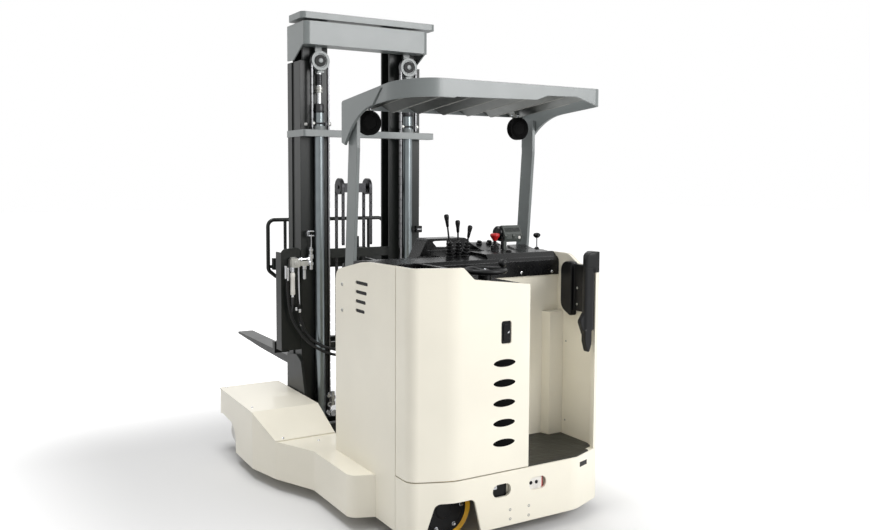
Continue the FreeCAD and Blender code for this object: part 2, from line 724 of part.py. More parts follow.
def make_drive_unit():
    wheel_x = dim.drive_pin_x - dim.drive_offset
    make_wheel("drive_hub", "drive_tyre", dim.drive_radius, dim.drive_width, dim.drive_band,
               wheel_x, dim.drive_pin_y, AXLE_ALONG_X)
    low = dim.drive_radius * 2 + 6
    unit = Piece("drive_unit")
    unit.add("top", low, low + 8, circles=[(dim.drive_pin_x, dim.drive_pin_y, 120)])
    front = wheel_x + dim.drive_width / 2
    unit.add("rear", front + 6, front + 46, [
        (dim.drive_pin_y - 55, low + 4), (dim.drive_pin_y - 55, 150, 50),
        (dim.drive_pin_y, 80, 50), (dim.drive_pin_y + 55, 150, 50), (dim.drive_pin_y + 55, low + 4)])
    unit.add("rear", wheel_x - dim.drive_width / 2 + 8, front + 8,
             circles=[(dim.drive_pin_y, dim.drive_radius, 11.95)])
    motor = Piece("drive_motor")
    motor.add("top", dim.floor_top + 10, 650, circles=[(dim.drive_pin_x, dim.drive_pin_y, 86)])
    motor.add("top", dim.floor_top, dim.floor_top + 20, [
        (dim.leg_start - 2, 170), (dim.leg_start - 2, 530), (175, 530), (135, 480), (135, 170)])
    return unit, motor


def make_load_wheel():
    make_wheel("left_load_hub", "left_load_tyre", dim.load_radius, dim.load_width, 32,
               dim.load_pin_x, dim.load_pin_y, AXLE_ALONG_X)
    half = dim.load_width / 2
    top = dim.house_top
    knuckle = Piece("left_knuckle")
    knuckle.add("top", top - 28, top - 6, circles=[(dim.load_pin_x, dim.load_pin_y, 90)])
    for low, high in ((half + 6, half + 20), (-(half + 20), -(half + 6))):
        knuckle.add("rear", dim.load_pin_x + low, dim.load_pin_x + high, [
            (dim.load_pin_y - 45, top - 15), (dim.load_pin_y - 45, 140, 45),
            (dim.load_pin_y, 90, 40), (dim.load_pin_y + 45, 140, 45), (dim.load_pin_y + 45, top - 15)])
    knuckle.add("rear", dim.load_pin_x - half - 10, dim.load_pin_x + half + 10,
                circles=[(dim.load_pin_y, dim.load_radius, 11.95)])
    return knuckle


def make_caster():
    axle_x = dim.caster_pin_x + dim.caster_trail
    half = dim.caster_width / 2
    wheel = Piece("caster_wheel", placed=False)
    wheel.turn("side", "V_Axis", [
        (12, -half), (30, -half), (36, 6 - half), (dim.caster_radius - 20, 6 - half),
        (dim.caster_radius - 16, -half), (dim.caster_radius - 5, -half),
        (dim.caster_radius, 5 - half), (dim.caster_radius, half - 5),
        (dim.caster_radius - 5, half), (dim.caster_radius - 16, half),
        (dim.caster_radius - 20, half - 6), (36, half - 6), (30, half), (12, half)])
    place(wheel.body, axle_x, dim.caster_pin_y, dim.caster_radius, AXLE_ALONG_Y)
    top = dim.floor_top - dim.sheet_wall - 6
    fork = Piece("caster_fork")
    fork.add("top", top - 16, top, circles=[(dim.caster_pin_x, dim.caster_pin_y, 70)])
    for low, high in ((half + 5, half + 15), (-(half + 15), -(half + 5))):
        fork.add("side", dim.caster_pin_y + low, dim.caster_pin_y + high, [
            (dim.caster_pin_x - 50, top - 8), (axle_x - 22, 50, 20), (axle_x + 22, 50, 20),
            (dim.caster_pin_x + 55, top - 8)])
    fork.add("side", dim.caster_pin_y - half - 8, dim.caster_pin_y + half + 8,
             circles=[(axle_x, dim.caster_radius, 11.95)])
    return fork


# ---------------------------------------------------------------- mast
YOKE_DROP = 75


def make_outer_mast():
    rails = Piece("outer_mast_rails")
    web = dim.flange
    rails.add("top", dim.mast_low, dim.mast_top, *both_sides([
        (dim.mast_back, dim.outer_lip), (dim.mast_back, dim.mast_half),
        (dim.mast_front, dim.mast_half), (dim.mast_front, dim.outer_lip),
        (dim.mast_front - web, dim.outer_lip), (dim.mast_front - web, dim.mast_half - web + 2),
        (dim.mast_back + web, dim.mast_half - web + 2), (dim.mast_back + web, dim.outer_lip)]))
    groove = (dim.mast_half - 7, dim.mast_half + 1)
    rails.cut("top", dim.mast_low + 60, dim.mast_top + 1, rectangle(1830, 1880, *groove),
              rectangle(1830, 1880, -groove[1], -groove[0]))
    beam = Piece("mast_cross_beam")
    slot = dim.sheave_y - dim.chain_run
    beam.add("top", dim.cross_low, dim.cross_high, [
        (dim.cross_back, dim.mast_half + 6, 12), (dim.cross_back, -dim.cross_right),
        (dim.mast_back, -dim.cross_right), (dim.mast_back, dim.mast_half),
        (dim.mast_front, dim.mast_half), (dim.mast_front, dim.mast_half + 6)],
        circles=[(dim.ram_x, dim.ram_y, dim.ram_barrel), (dim.ram_x, -dim.ram_y, dim.ram_barrel)])
    for y in (slot, -slot):
        beam.cut("top", dim.cross_low - 1, dim.cross_high + 1, rectangle(
            dim.sheave_x - 17, dim.sheave_x + 17, y - 13, y + 13))
    # clamp rings of the lift cylinders
    for y in (dim.ram_y, -dim.ram_y):
        beam.add("top", dim.cross_high - 1, dim.cross_high + 24,
                 circles=[(dim.ram_x, y, dim.ram_barrel + 9), (dim.ram_x, y, dim.ram_barrel)])
    return rails, beam


def make_reach_carriage():
    outer = dim.leg_inner - 8
    frame = Piece("reach_carriage")
    plate = [
        (dim.mast_front, 90), (dim.mast_front, 600), (1790, 625, 50), (1715, 590, 40),
        (1590, 180), (1560, 90)]
    for low, high in ((dim.mast_half, outer), (-outer, -dim.mast_half)):
        frame.add("side", low, high, plate)
    frame.add("side", -dim.mast_half, dim.mast_half, rectangle(1600, 1650, 95, 200))
    frame.add("top", 84, 104, rectangle(1640, dim.mast_back, -dim.mast_half, dim.mast_half))
    # hose manifold
    frame.add("side", 60, 150, rectangle(1664, 1724, 100, 420))
    for x in (1640, 1905):
        frame.add("side", outer - 4, dim.leg_inner + dim.rail_depth - 5, circles=[(x, 165, 59)])
        frame.add("side", -(dim.leg_inner + dim.rail_depth - 5), -(outer - 4),
                  circles=[(x, 165, 59)])
    return frame


def make_lift_rams():
    """Barrels stand on the outer mast; rods with their collars rise to the sheave yokes."""
    barrels, rods = [], []
    foot, top = dim.ram_foot.number, dim.ram_top.number
    rod_foot, rod_top = foot + 96, dim.sheave_z.number - YOKE_DROP
    for side in (1, -1):
        axis = Vector(dim.ram_x.number, side * dim.ram_y.number, 0)
        barrel = Part.makeCylinder(dim.ram_barrel.number, top - foot, axis + Vector(0, 0, foot))
        gland = Part.makeCylinder(26, 55, axis + Vector(0, 0, top))
        bore = Part.makeCylinder(dim.ram_rod.number + 5, 2200, axis + Vector(0, 0, foot + 20))
        barrels.append(barrel.fuse(gland).cut(bore))
        rod = Part.makeCylinder(dim.ram_rod.number, rod_top - rod_foot, axis + Vector(0, 0, rod_foot))
        collar = Part.makeCylinder(19, 41, axis + Vector(0, 0, 2274))
        head = Part.makeCylinder(20, 22, axis + Vector(0, 0, rod_top - 22))
        rods.append(rod.fuse([collar, head]).removeSplitter())
    shape_part("lift_cylinders", Part.makeCompound(barrels))
    shape_part("lift_rods", Part.makeCompound(rods))


def make_middle_mast():
    back = dim.mast_back + dim.flange + dim.stage_gap
    front = dim.mast_front - dim.flange - dim.stage_gap
    flange = dim.rail_flange
    rails = Piece("middle_mast_rails")
    rails.add("top", dim.mast_low + 10, dim.middle_top, *both_sides([
        (back, dim.middle_lip), (back, dim.middle_tip), (back + flange, dim.middle_tip),
        (back + flange, dim.middle_web + dim.web), (front - flange, dim.middle_web + dim.web),
        (front - flange, dim.middle_tip), (front, dim.middle_tip), (front, dim.middle_lip),
        (front - flange, dim.middle_lip), (front - flange, dim.middle_web),
        (back + flange, dim.middle_web), (back + flange, dim.middle_lip)]))
    rails.add("top", dim.mast_low + 10, dim.mast_low + 130, rectangle(
        back, back + flange, -dim.middle_lip - 5, dim.middle_lip + 5))
    beam = Piece("mast_top_beam")
    beam.add("top", dim.beam_low, dim.middle_top, [
        (dim.beam_back, -dim.beam_half, 34), (dim.beam_back, dim.beam_half, 34),
        (back, dim.beam_half), (back, -dim.beam_half)])
    for low, high in ((dim.beam_half - 8, dim.beam_half), (-dim.beam_half, 8 - dim.beam_half)):
        beam.add("side", low, high, [
            (1660, 2560), (1676, 2560, 30), (1826, 2478, 12), (front, 2482),
            (front, dim.middle_top), (1660, dim.middle_top)])
    return rails, beam


def make_inner_mast():
    back = dim.mast_back + dim.flange + dim.rail_flange + dim.stage_gap * 2
    front = dim.mast_front - dim.flange - dim.rail_flange - dim.stage_gap * 2
    flange = dim.rail_flange
    rails = Piece("inner_mast_rails")
    rails.add("top", dim.mast_low + 20, dim.inner_top, *both_sides([
        (back, dim.inner_lip), (back, dim.inner_tip), (front, dim.inner_tip),
        (front, dim.inner_lip), (front - flange, dim.inner_lip),
        (front - flange, dim.inner_tip - dim.web), (back + flange, dim.inner_tip - dim.web),
        (back + flange, dim.inner_lip)]))
    for low, high in ((dim.mast_low + 20, 200), (1230, 1290)):
        rails.add("top", low, high, rectangle(
            back, back + flange, -dim.inner_lip - 5, dim.inner_lip + 5))
    rails.add("top", dim.mast_low + 20, 116, rectangle(back, dim.head_x + 50, -50, 50))
    rails.add("top", 1240, 1280, rectangle(back, dim.head_x - 36, -30, 30))
    plate = Piece("inner_mast_plate")
    plate.add("top", dim.inner_top, dim.inner_top + dim.top_plate, rectangle(
        1672, 1905, -508, 440, 30))
    return rails, plate


def chain_run(length, breadth, depth):
    """One straight run of leaf chain along X, waisted at every link."""
    links = round(length / dim.chain_pitch.number)
    pitch = length / links
    half = depth / 2
    edge = [(0, half)]
    for link in range(links):
        edge += [(pitch * (link + 0.8), half), (pitch * (link + 0.9), half * 0.4),
                 (pitch * (link + 1), half)]
    outline = edge + [(along, -across) for along, across in reversed(edge)]
    points = [Vector(along, across, -breadth / 2) for along, across in outline]
    return Part.Face(Part.makePolygon(points + points[:1])).extrude(Vector(0, 0, breadth))


def hang(run, top, turned=0):
    """Hang a run that was made along X straight down from a point."""
    down = Rotation(Vector(0, 0, -1), Vector(0, 1, 0), Vector(1, 0, 0), "XYZ")
    run.Placement = Placement(top, Rotation(Vector(0, 0, 1), turned) * down)
    return run


def pulley(radius, width):
    """Grooved and dished sheave on the X axis, centred on the origin."""
    half = width / 2
    side = Vector(-half, 0, 0)
    along = Vector(1, 0, 0)
    flange = Vector(4 - half, 0, 0)
    groove = Part.makeCylinder(radius + 1, width - 8, flange, along).cut(
        Part.makeCylinder(radius - 10, width - 8, flange, along))
    dish = Part.makeCylinder(radius * 0.73, 7, side, along).cut(
        Part.makeCylinder(radius * 0.36, 7, side, along))
    bore = Part.makeCylinder(radius * 0.22, 10, side, along)
    return Part.makeCylinder(radius, width, side, along).cut([groove, dish, bore])


def make_free_lift():
    x = dim.head_x.number
    z = dim.head_z.number
    barrel = Part.makeCylinder(36, 1360 - 116, Vector(x, 0, 116)).cut(
        Part.makeCylinder(24, 1300, Vector(x, 0, 140)))
    shape_part("free_lift_cylinder", barrel)
    rod = Part.makeCylinder(20, 1250, Vector(x, 0, 400))
    yoke = Part.makeBox(60, 150, 60, Vector(x - 30, -75, 1650))
    pin_bar = Part.makeCylinder(12, 236, Vector(x, -118, z), Vector(0, 1, 0))
    post = Part.makeBox(26, 34, 215, Vector(x - 13, -17, 1696))
    sheaves, chains = [], []
    for y in (dim.head_half.number, -dim.head_half.number):
        hub = Vector(x, y - 12, z)
        sheaves.append(Part.makeCylinder(48, 24, hub, Vector(0, 1, 0)))
        ring = Part.makeCylinder(58, 20, hub + Vector(0, 2, 0), Vector(0, 1, 0)).cut(
            Part.makeCylinder(48, 20, hub + Vector(0, 2, 0), Vector(0, 1, 0)))
        ring = ring.common(Part.makeBox(200, 40, 100, Vector(x - 100, y - 20, z)))
        runs = []
        for ahead, drop in ((-53, 380), (53, 1020)):
            runs.append(hang(chain_run(drop, 20, 9), Vector(x + ahead, y, z), 90))
        chains.append(ring.fuse(runs).removeSplitter())
    shape_part("free_lift_head", rod.fuse([yoke, pin_bar, post] + sheaves).removeSplitter())
    shape_part("free_lift_chains", Part.makeCompound(chains))


def make_mast_sheaves():
    """Sheaves in yokes between rods and top beam, and the lift chains that run over them."""
    sheaves, chains = [], []
    run, radius = dim.chain_run.number, dim.sheave_radius.number
    breadth = 22
    for side in (1, -1):
        hub = Vector(dim.sheave_x.number, side * dim.sheave_y.number, dim.sheave_z.number)
        wheel = pulley(radius, 32)
        wheel.Placement = Placement(hub, Rotation())
        yoke = Part.makeBox(8, 44, dim.beam_low.number - hub.z + YOKE_DROP,
                            hub + Vector(20, -22, -YOKE_DROP))
        foot = Part.makeBox(46, 44, 12, hub + Vector(-18, -22, -YOKE_DROP))
        axle = Part.makeCylinder(9, 22, hub + Vector(-2, 0, 0), Vector(1, 0, 0))
        sheaves.append(wheel.fuse([yoke, foot, axle]).removeSplitter())
        behind = hub + Vector(-breadth / 2, 0, 0)
        wrap = Part.makeCylinder(run + 5, breadth, behind, Vector(1, 0, 0)).cut(
            Part.makeCylinder(run - 5, breadth, behind, Vector(1, 0, 0)))
        wrap = wrap.common(Part.makeBox(breadth, 4 * run, 2 * run, behind + Vector(0, -2 * run, 0)))
        runs = []
        for across, low in ((-side * run, 260), (side * run, dim.cross_high.number + 6)):
            runs.append(hang(chain_run(hub.z - low, breadth, 10), hub + Vector(0, across, 0)))
        chains.append(wrap.fuse(runs).removeSplitter())
    shape_part("lift_sheaves", Part.makeCompound(sheaves))
    shape_part("mast_chains", Part.makeCompound(chains))


def make_side_plate():
    """Pressed plate on the mast's left side that carries the valves and hoses."""
    low, high = 663, 1300
    plate = Piece("hose_plate")
    plate.add("rear", 1746, 1754, [
        (dim.mast_half, low), (556, low), (556, high, 34), (dim.mast_half, high + 12, 30)])
    plate.add("rear", 1746, 1836, [(548, low), (556, low), (556, high - 20), (548, high - 20)])
    plate.add("rear", 1746, 1930, [
        (dim.mast_half, low + 100), (dim.mast_half + 8, low + 100),
        (dim.mast_half + 8, high - 100), (dim.mast_half, high - 100)])
    block = Piece("valve_block")
    block.add("rear", 1690, 1746, rectangle(440, 500, 1160, 1215, 8))
    block.add("top", 985, 1165, circles=[(1722, 490, 11)])
    return plate, block


SUPPLY_ROUTE = [
    (1712, 458, 1115), (1710, 458, 990), (1702, 450, 865), (1680, 418, 765), (1634, 352, 701),
    (1586, 272, 673), (1572, 186, 658), (1589, 129, 591), (1650, 126, 506), (1694, 125, 414)]
RETURN_ROUTE = [
    (1712, 528, 1105), (1710, 526, 990), (1702, 508, 877), (1682, 462, 778), (1644, 392, 698),
    (1600, 308, 650), (1567, 222, 630), (1562, 125, 593), (1606, 77, 530), (1664, 80, 466),
    (1694, 84, 414)]
HOSE_RADIUS = 9


def route_bends(route):
    """The arc at each inner point: 0.45 of the shorter run over the tangent of half the turn."""
    spots = [Vector(*point) for point in route]
    bends = []
    for before, here, after in zip(spots, spots[1:], spots[2:]):
        turn = (here - before).getAngle(after - here)
        run = min((here - before).Length, (after - here).Length)
        bends.append(0.45 * run / math.tan(turn / 2))
    return bends


def make_hoses(carriage):
    for label, route in (("supply_hose", SUPPLY_ROUTE), ("return_hose", RETURN_ROUTE)):
        bends = route_bends(route)
        hose = shape_part(label, seated(tube(route, HOSE_RADIUS, bends), carriage))
        print(label, "bends", [round(bend) for bend in bends], "volume", round(hose.Shape.Volume))


# ---------------------------------------------------------------- carriage and forks
def make_carriage():
    frame = Piece("fork_carriage")
    for z in (550, 1120):
        frame.add("top", z, z + 78, rectangle(
            dim.bar_back, dim.bar_front, -dim.bar_half, dim.bar_half))
    inner = dim.inner_lip - 7
    for low, high in ((inner - 20, inner), (-inner, 20 - inner)):
        frame.add("side", low, high, [
            (1824, 560), (1860, 1180, 60), (dim.bar_back + 1, 1198), (dim.bar_back + 1, 550),
            (1860, 550, 20)])
    frame.add("top", 610, 650, rectangle(
        dim.head_x + 66, dim.head_x + 90, 5 - inner, inner - 5))
    for z in (620, 1080):
        for side in (1, -1):
            ends = sorted((inner * side - 2 * side, inner * side + 62 * side),
                          key=lambda size: size.number)
            frame.add("side", ends[0], ends[1], circles=[(1845, z, 20)])
            ends = sorted((inner * side + 54 * side, inner * side + 98 * side),
                          key=lambda size: size.number)
            frame.add("side", ends[0], ends[1], circles=[(1845, z, 41)])
    return frame


def make_forks():
    fork = Piece("forks")
    back = dim.bar_front + 2
    inner = dim.fork_outer - dim.fork_width
    for low, high in ((inner, dim.fork_outer), (-dim.fork_outer, -inner)):
        fork.add("side", low, high, [
            (back, dim.shank_top), (dim.shank_front, dim.shank_top),
            (dim.shank_front, dim.fork_top, 20), (dim.fork_tip, dim.fork_top),
            (dim.fork_tip, dim.fork_top - 14), (2900, dim.fork_low + 12), (2420, dim.fork_low),
            (back, dim.fork_low, 60)])
        for z in (550, 1120):
            fork.add("side", low, high, [
                (back + 4, z + 78), (back - 30, z + 78), (back - 30, z + 94), (back + 4, z + 94)])
    return fork


def make_backrest():
    x = dim.bar_front.number + dim.rest_tube.number
    half, top = dim.rest_half.number, dim.rest_top.number
    radius = dim.rest_tube.number
    loop = tube([(x, 340, 1068), (x, 385, 1068), (x, half, 1115), (x, half, top), (x, -half, top),
                 (x, -half, 1115), (x, -385, 1068), (x, -340, 1068)], radius,
                [25, 40, 45, 45, 40, 25])
    bars = []
    for side in (1, -1):
        bars.append(Part.makeCylinder(radius - 2, top - 1130, Vector(x, side * 318, 1130)))
        bars.append(Part.makeCylinder(radius - 2, 130, Vector(x, side * 318, 1138),
                                      Vector(0, side, 0)))
    shape_part("load_backrest", loop.fuse(bars).removeSplitter())


# ---------------------------------------------------------------- overhead guard
SLAT_WIDTH, SLAT_TILT, SLAT_FIRST, SLAT_PITCH, SLAT_HIGH = 84, 26, -490, 160, 2182


def make_guard():
    plate = dim.guard_plate
    back, front = dim.guard_back, dim.guard_front
    left, right = dim.guard_left, dim.guard_right
    low = 1880
    roof = Piece("guard_roof")
    roof.add("top", low, dim.guard_high + 4, [
        (front, -right), (front, left), (back, left, 200), (back, -right, 45)])
    roof.cut("top", low - 1, dim.guard_high + 5, [
        (front - plate, plate - right), (front - plate, left - plate),
        (back + plate, left - plate, 190), (back + plate, plate - right, 35)])
    # slope of the top
    roof.cut("side", -right - 1, left + 1, [
        (back - 1, dim.guard_high), (front + 1, dim.guard_nose), (front + 1, dim.guard_high + 9),
        (back - 1, dim.guard_high + 9)])
    # lower edge, curving down into the front gussets
    roof.cut("side", -right - 1, left + 1, [
        (back - 1, low - 2), (back - 1, 2126), (638, 2087, 430), (784, 1916), (784, low - 2)])
    roof.cut("side", -right - 1, left + 1, [
        (783, low - 2), (783, 1916), (front + 1, 1928), (front + 1, low - 2)])
    # the rear band's lower edge, with its arch near the right corner
    roof.cut("rear", back - 1, back + 50, [
        (330, 2100), (290, 2130), (-183, 2138, 60), (-250, 2162, 40), (-440, 2165, 70),
        (-570, 2126), (-560, 2100)])
    # front band
    roof.cut("rear", 650, front + 1, rectangle(
        plate - right, left - plate, low - 2, 2102))
    # groove behind the left doubling plate
    roof.cut("side", left - 5, left + 1, [
        (372, 2176), (356, 2180), (446, 2099), (464, 2095)])
    # doubling plates on the gussets
    doubler = [(front - 1, dim.guard_nose - 4, 12), (372, 2176), (462, 2101), (632, 2085, 430),
               (783, 1919), (front - 1, 1930)]
    for low, high in ((left - 1, left + dim.gusset_plate), (-right - dim.gusset_plate, 1 - right)):
        roof.add("side", low, high, doubler)
    posts = Piece("guard_posts")
    for outer, inner, bracket in ((542, 524, left - plate), (-592, -574, plate - right)):
        low, high = min(outer, inner), max(outer, inner)
        base = POST_FOOT if outer > 0 else 1312
        posts.add("side", low, high, [
            (734, base), (835, base), (786, 1900), (786, 2074), (684, 2080), (684, 1900)])
        ends = (high, bracket) if outer > 0 else (bracket, low)
        posts.add("side", ends[0], ends[1], [
            (700, 2060), (700, 2030), (778, 1950), (778, 2060)])
    # the right post's foot steps in over the wall into the console
    posts.add("side", -575, -536, rectangle(734, 835, 1312, 1330))
    posts.add("side", -565, -536, rectangle(734, 835, POST_FOOT, 1330))
    return roof


def make_slats(roof):
    """Tilted vanes along the roof, from its rear band to its front band."""
    front, back = dim.guard_front.number, dim.guard_back.number
    fall = math.degrees(math.atan2(dim.guard_high.number - dim.guard_nose.number, front - back))
    vanes = []
    for i in range(7):
        vane = Part.makeBox(front - back - 12, SLAT_WIDTH, 6, Vector(0, -SLAT_WIDTH / 2, -3))
        turn = Rotation(Vector(0, 1, 0), fall) * Rotation(Vector(1, 0, 0), SLAT_TILT)
        vane.Placement = Placement(Vector(back + 6, SLAT_FIRST + SLAT_PITCH * i, SLAT_HIGH), turn)
        inside = seated(vane, roof)
        vanes.append(max(inside.Solids, key=lambda solid: solid.Volume))
    return shape_part("guard_slats", Part.makeCompound(vanes))


def make_lamps(slats):
    """Round work lamps on stems that reach up to the roof's vanes."""
    solids = []
    for y, reach in ((464, 2114), (-484, 2120)):
        can = Part.makeCylinder(56, 38, Vector(684, y, 2030), Vector(1, 0, 0))
        back = Part.makeCone(50, 30, 20, Vector(721, y, 2030), Vector(1, 0, 0))
        stem = Part.makeBox(8, 26, reach - 2018, Vector(735, y - 13, 2018))
        solids.append(seated(can.fuse([back, stem]).removeSplitter(), slats))
    shape_part("work_lamps", Part.makeCompound(solids))


make_base_frame()
make_left_panel()
make_right_panel()
make_door()
make_latch()
make_bulkhead()
make_front_panel()
make_battery()
make_floor_mat()
console = make_console()
make_levers(console)
make_controls(console)
make_steering()
make_back_pad()
mirrored(make_leg(), "right_leg")
make_wheel_covers()
make_drive_unit()
knuckle = make_load_wheel()
mirrored(knuckle, "right_knuckle")
make_wheel("right_load_hub", "right_load_tyre", dim.load_radius, dim.load_width, 32,
           dim.load_pin_x, -dim.load_pin_y, AXLE_ALONG_X)
make_caster()
make_outer_mast()
reach_carriage = make_reach_carriage()
make_lift_rams()
make_middle_mast()
make_inner_mast()
make_free_lift()
make_mast_sheaves()
make_side_plate()
make_hoses(reach_carriage)
make_carriage()
make_forks()
make_backrest()
make_lamps(make_slats(make_guard()))

# ---------------------------------------------------------------- check and write
doc.recompute()
SUB_PART_TYPES = ("PartDesign::Body", "Part::Mirroring", "Part::Feature")
faults = [f"{thing.Label}: {thing.State}" for thing in doc.Objects
          if {"Invalid", "Error"} & set(thing.State)]
sub_parts = [thing for thing in doc.Objects if thing.TypeId in SUB_PART_TYPES]
faults += [f"{part.Label}: no valid shape" for part in sub_parts
           if part.Shape.isNull() or not part.Shape.isValid()]
if faults:
    raise SystemExit("\n".join(faults))
os.makedirs("parts", exist_ok=True)
for part in sub_parts:
    part.Shape.exportStep(f"parts/{part.Label}.step")
print(len(sub_parts), "sub-parts written")
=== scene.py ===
import json
import math

import bmesh
import bpy
from mathutils import Matrix, Vector
from mathutils.bvhtree import BVHTree


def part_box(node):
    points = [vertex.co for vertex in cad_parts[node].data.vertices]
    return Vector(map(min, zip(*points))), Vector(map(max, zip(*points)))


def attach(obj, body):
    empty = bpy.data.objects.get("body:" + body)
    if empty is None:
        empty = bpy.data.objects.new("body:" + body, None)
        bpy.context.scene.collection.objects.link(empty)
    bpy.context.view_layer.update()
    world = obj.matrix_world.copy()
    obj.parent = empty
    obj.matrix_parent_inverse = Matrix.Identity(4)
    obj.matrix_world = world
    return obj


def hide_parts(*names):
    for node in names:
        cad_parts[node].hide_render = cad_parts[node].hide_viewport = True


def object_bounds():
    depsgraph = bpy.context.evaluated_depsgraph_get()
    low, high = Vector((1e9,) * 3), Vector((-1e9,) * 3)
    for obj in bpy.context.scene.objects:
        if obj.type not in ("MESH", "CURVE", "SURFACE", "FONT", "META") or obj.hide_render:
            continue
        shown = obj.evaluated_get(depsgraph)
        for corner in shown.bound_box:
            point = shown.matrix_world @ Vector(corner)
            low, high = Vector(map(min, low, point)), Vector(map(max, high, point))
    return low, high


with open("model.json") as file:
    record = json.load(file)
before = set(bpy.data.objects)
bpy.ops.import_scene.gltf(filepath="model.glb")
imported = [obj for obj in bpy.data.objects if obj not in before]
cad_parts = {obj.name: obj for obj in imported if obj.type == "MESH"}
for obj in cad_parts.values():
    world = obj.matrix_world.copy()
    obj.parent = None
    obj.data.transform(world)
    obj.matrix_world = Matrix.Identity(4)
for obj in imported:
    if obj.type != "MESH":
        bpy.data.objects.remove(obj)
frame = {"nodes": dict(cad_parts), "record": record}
cad_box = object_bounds()

# The truck's rear face is x = 0 in the drawings: places below are given from there, in metres.
REAR = cad_box[0][0]
SIDES = (1, -1)     # left and right
AHEAD, BACK, UP, DOWN = (1, 0, 0), (-1, 0, 0), (0, 0, 1), (0, 0, -1)
FROM_LEFT, FROM_RIGHT = (0, -1, 0), (0, 1, 0)


def at(x, y, z):
    """A point in the row frame, from its distance ahead of the truck's rear face."""
    return Vector((x + REAR, y, z))


# -------------------- materials
TINT_RANGE = (0.35, 0.65)   # the part of a noise that varies a colour
PAINT_EDGE = 0.003
MOULDED_EDGE = 0.004


def node_material(name):
    material = bpy.data.materials.new(name)
    material.use_nodes = True
    return material, material.node_tree, material.node_tree.nodes["Principled BSDF"]


def add_node(tree, kind, **inputs):
    """A node with values on its sockets; an underscore stands for a space in a socket's name."""
    node = tree.nodes.new(kind)
    for key, value in inputs.items():
        node.inputs[key.replace("_", " ")].default_value = value
    return node


def noise(tree, scale, detail, roughness=0.5, stretch=None):
    """Noise in the object's own coordinates, which stretch scales axis by axis."""
    spot = tree.nodes.new("ShaderNodeTexCoord").outputs["Object"]
    texture = add_node(tree, "ShaderNodeTexNoise", Scale=scale, Detail=detail, Roughness=roughness)
    if stretch:
        mapping = add_node(tree, "ShaderNodeMapping", Scale=stretch)
        tree.links.new(spot, mapping.inputs["Vector"])
        spot = mapping.outputs["Vector"]
    tree.links.new(spot, texture.inputs["Vector"])
    return texture


def vary_colour(tree, shader, source, colour, darkest, lightest):
    """The base colour, between two shades of one colour by a noise."""
    made = tree.nodes.new("ShaderNodeValToRGB")
    for stop, place, by in zip(made.color_ramp.elements, TINT_RANGE, (darkest, lightest)):
        stop.position = place
        stop.color = (*(min(1.0, channel * by) for channel in colour), 1)
    tree.links.new(source.outputs["Fac"], made.inputs["Fac"])
    tree.links.new(made.outputs["Color"], shader.inputs["Base Color"])


def vary_roughness(tree, shader, source, low, high):
    made = add_node(tree, "ShaderNodeMapRange", To_Min=low, To_Max=high)
    tree.links.new(source.outputs["Fac"], made.inputs["Value"])
    tree.links.new(made.outputs["Result"], shader.inputs["Roughness"])


def bump(tree, shader, source, strength, distance, after=None):
    """Relief from a noise, on top of another node's normals where one is given."""
    made = add_node(tree, "ShaderNodeBump", Strength=strength, Distance=distance)
    tree.links.new(source.outputs["Fac"], made.inputs["Height"])
    if after:
        tree.links.new(after.outputs["Normal"], made.inputs["Normal"])
    tree.links.new(made.outputs["Normal"], shader.inputs["Normal"])
    return made


def round_edges(tree, radius):
    """Shade the edges as slightly rounded."""
    made = add_node(tree, "ShaderNodeBevel", Radius=radius)
    made.samples = 4
    return made


def paint(name, colour, roughness, variation=0.03, peel=0.06, coat=0.0, specular=0.5):
    """Sprayed enamel: faint cloudiness, uneven gloss and orange peel."""
    material, tree, shader = node_material(name)
    cloud = noise(tree, scale=2.2, detail=4)
    vary_colour(tree, shader, cloud, colour, 1 - variation, 1 + variation)
    sheen = noise(tree, scale=9, detail=5)
    vary_roughness(tree, shader, sheen, roughness - 0.05, roughness + 0.06)
    shader.inputs["Coat Weight"].default_value = coat
    shader.inputs["Specular IOR Level"].default_value = specular
    bump(tree, shader, noise(tree, scale=420, detail=2), strength=peel, distance=0.0004,
         after=round_edges(tree, PAINT_EDGE))
    return material


def moulded(name, colour, roughness, depth=0.25, index=1.45):
    """Moulded plastic with a fine spark-eroded grain."""
    material, tree, shader = node_material(name)
    vary_colour(tree, shader, noise(tree, scale=6, detail=4), colour, 0.9, 1.12)
    sheen = noise(tree, scale=30, detail=4)
    vary_roughness(tree, shader, sheen, roughness - 0.06, roughness + 0.06)
    shader.inputs["IOR"].default_value = index
    bump(tree, shader, noise(tree, scale=900, detail=2), strength=depth, distance=0.0003,
         after=round_edges(tree, MOULDED_EDGE))
    return material


def metal(name, colour, roughness, stretch=(1, 1, 40), scale=60, wear=0.06):
    """Bare or plated steel with fine drawn lines."""
    material, tree, shader = node_material(name)
    vary_colour(tree, shader, noise(tree, scale=12, detail=4), colour, 0.92, 1.06)
    lines = noise(tree, scale, detail=3, roughness=0.6, stretch=stretch)
    vary_roughness(tree, shader, lines, roughness - wear, roughness + wear)
    shader.inputs["Metallic"].default_value = 1.0
    bump(tree, shader, lines, strength=0.08, distance=0.0002)
    return material


def rubber(name, colour, roughness, grain, specular=0.5, creases=0.0):
    """Rubber, vinyl or polyurethane with a fine grain; creases is the depth of broad folds."""
    material, tree, shader = node_material(name)
    vary_colour(tree, shader, noise(tree, scale=14, detail=5), colour, 0.86, 1.14)
    shader.inputs["Roughness"].default_value = roughness
    shader.inputs["Specular IOR Level"].default_value = specular
    fine = bump(tree, shader, noise(tree, grain, detail=4), strength=0.3, distance=0.0004)
    if creases:
        bump(tree, shader, noise(tree, scale=16, detail=4, roughness=0.6), strength=0.6,
             distance=creases, after=fine)
    return material


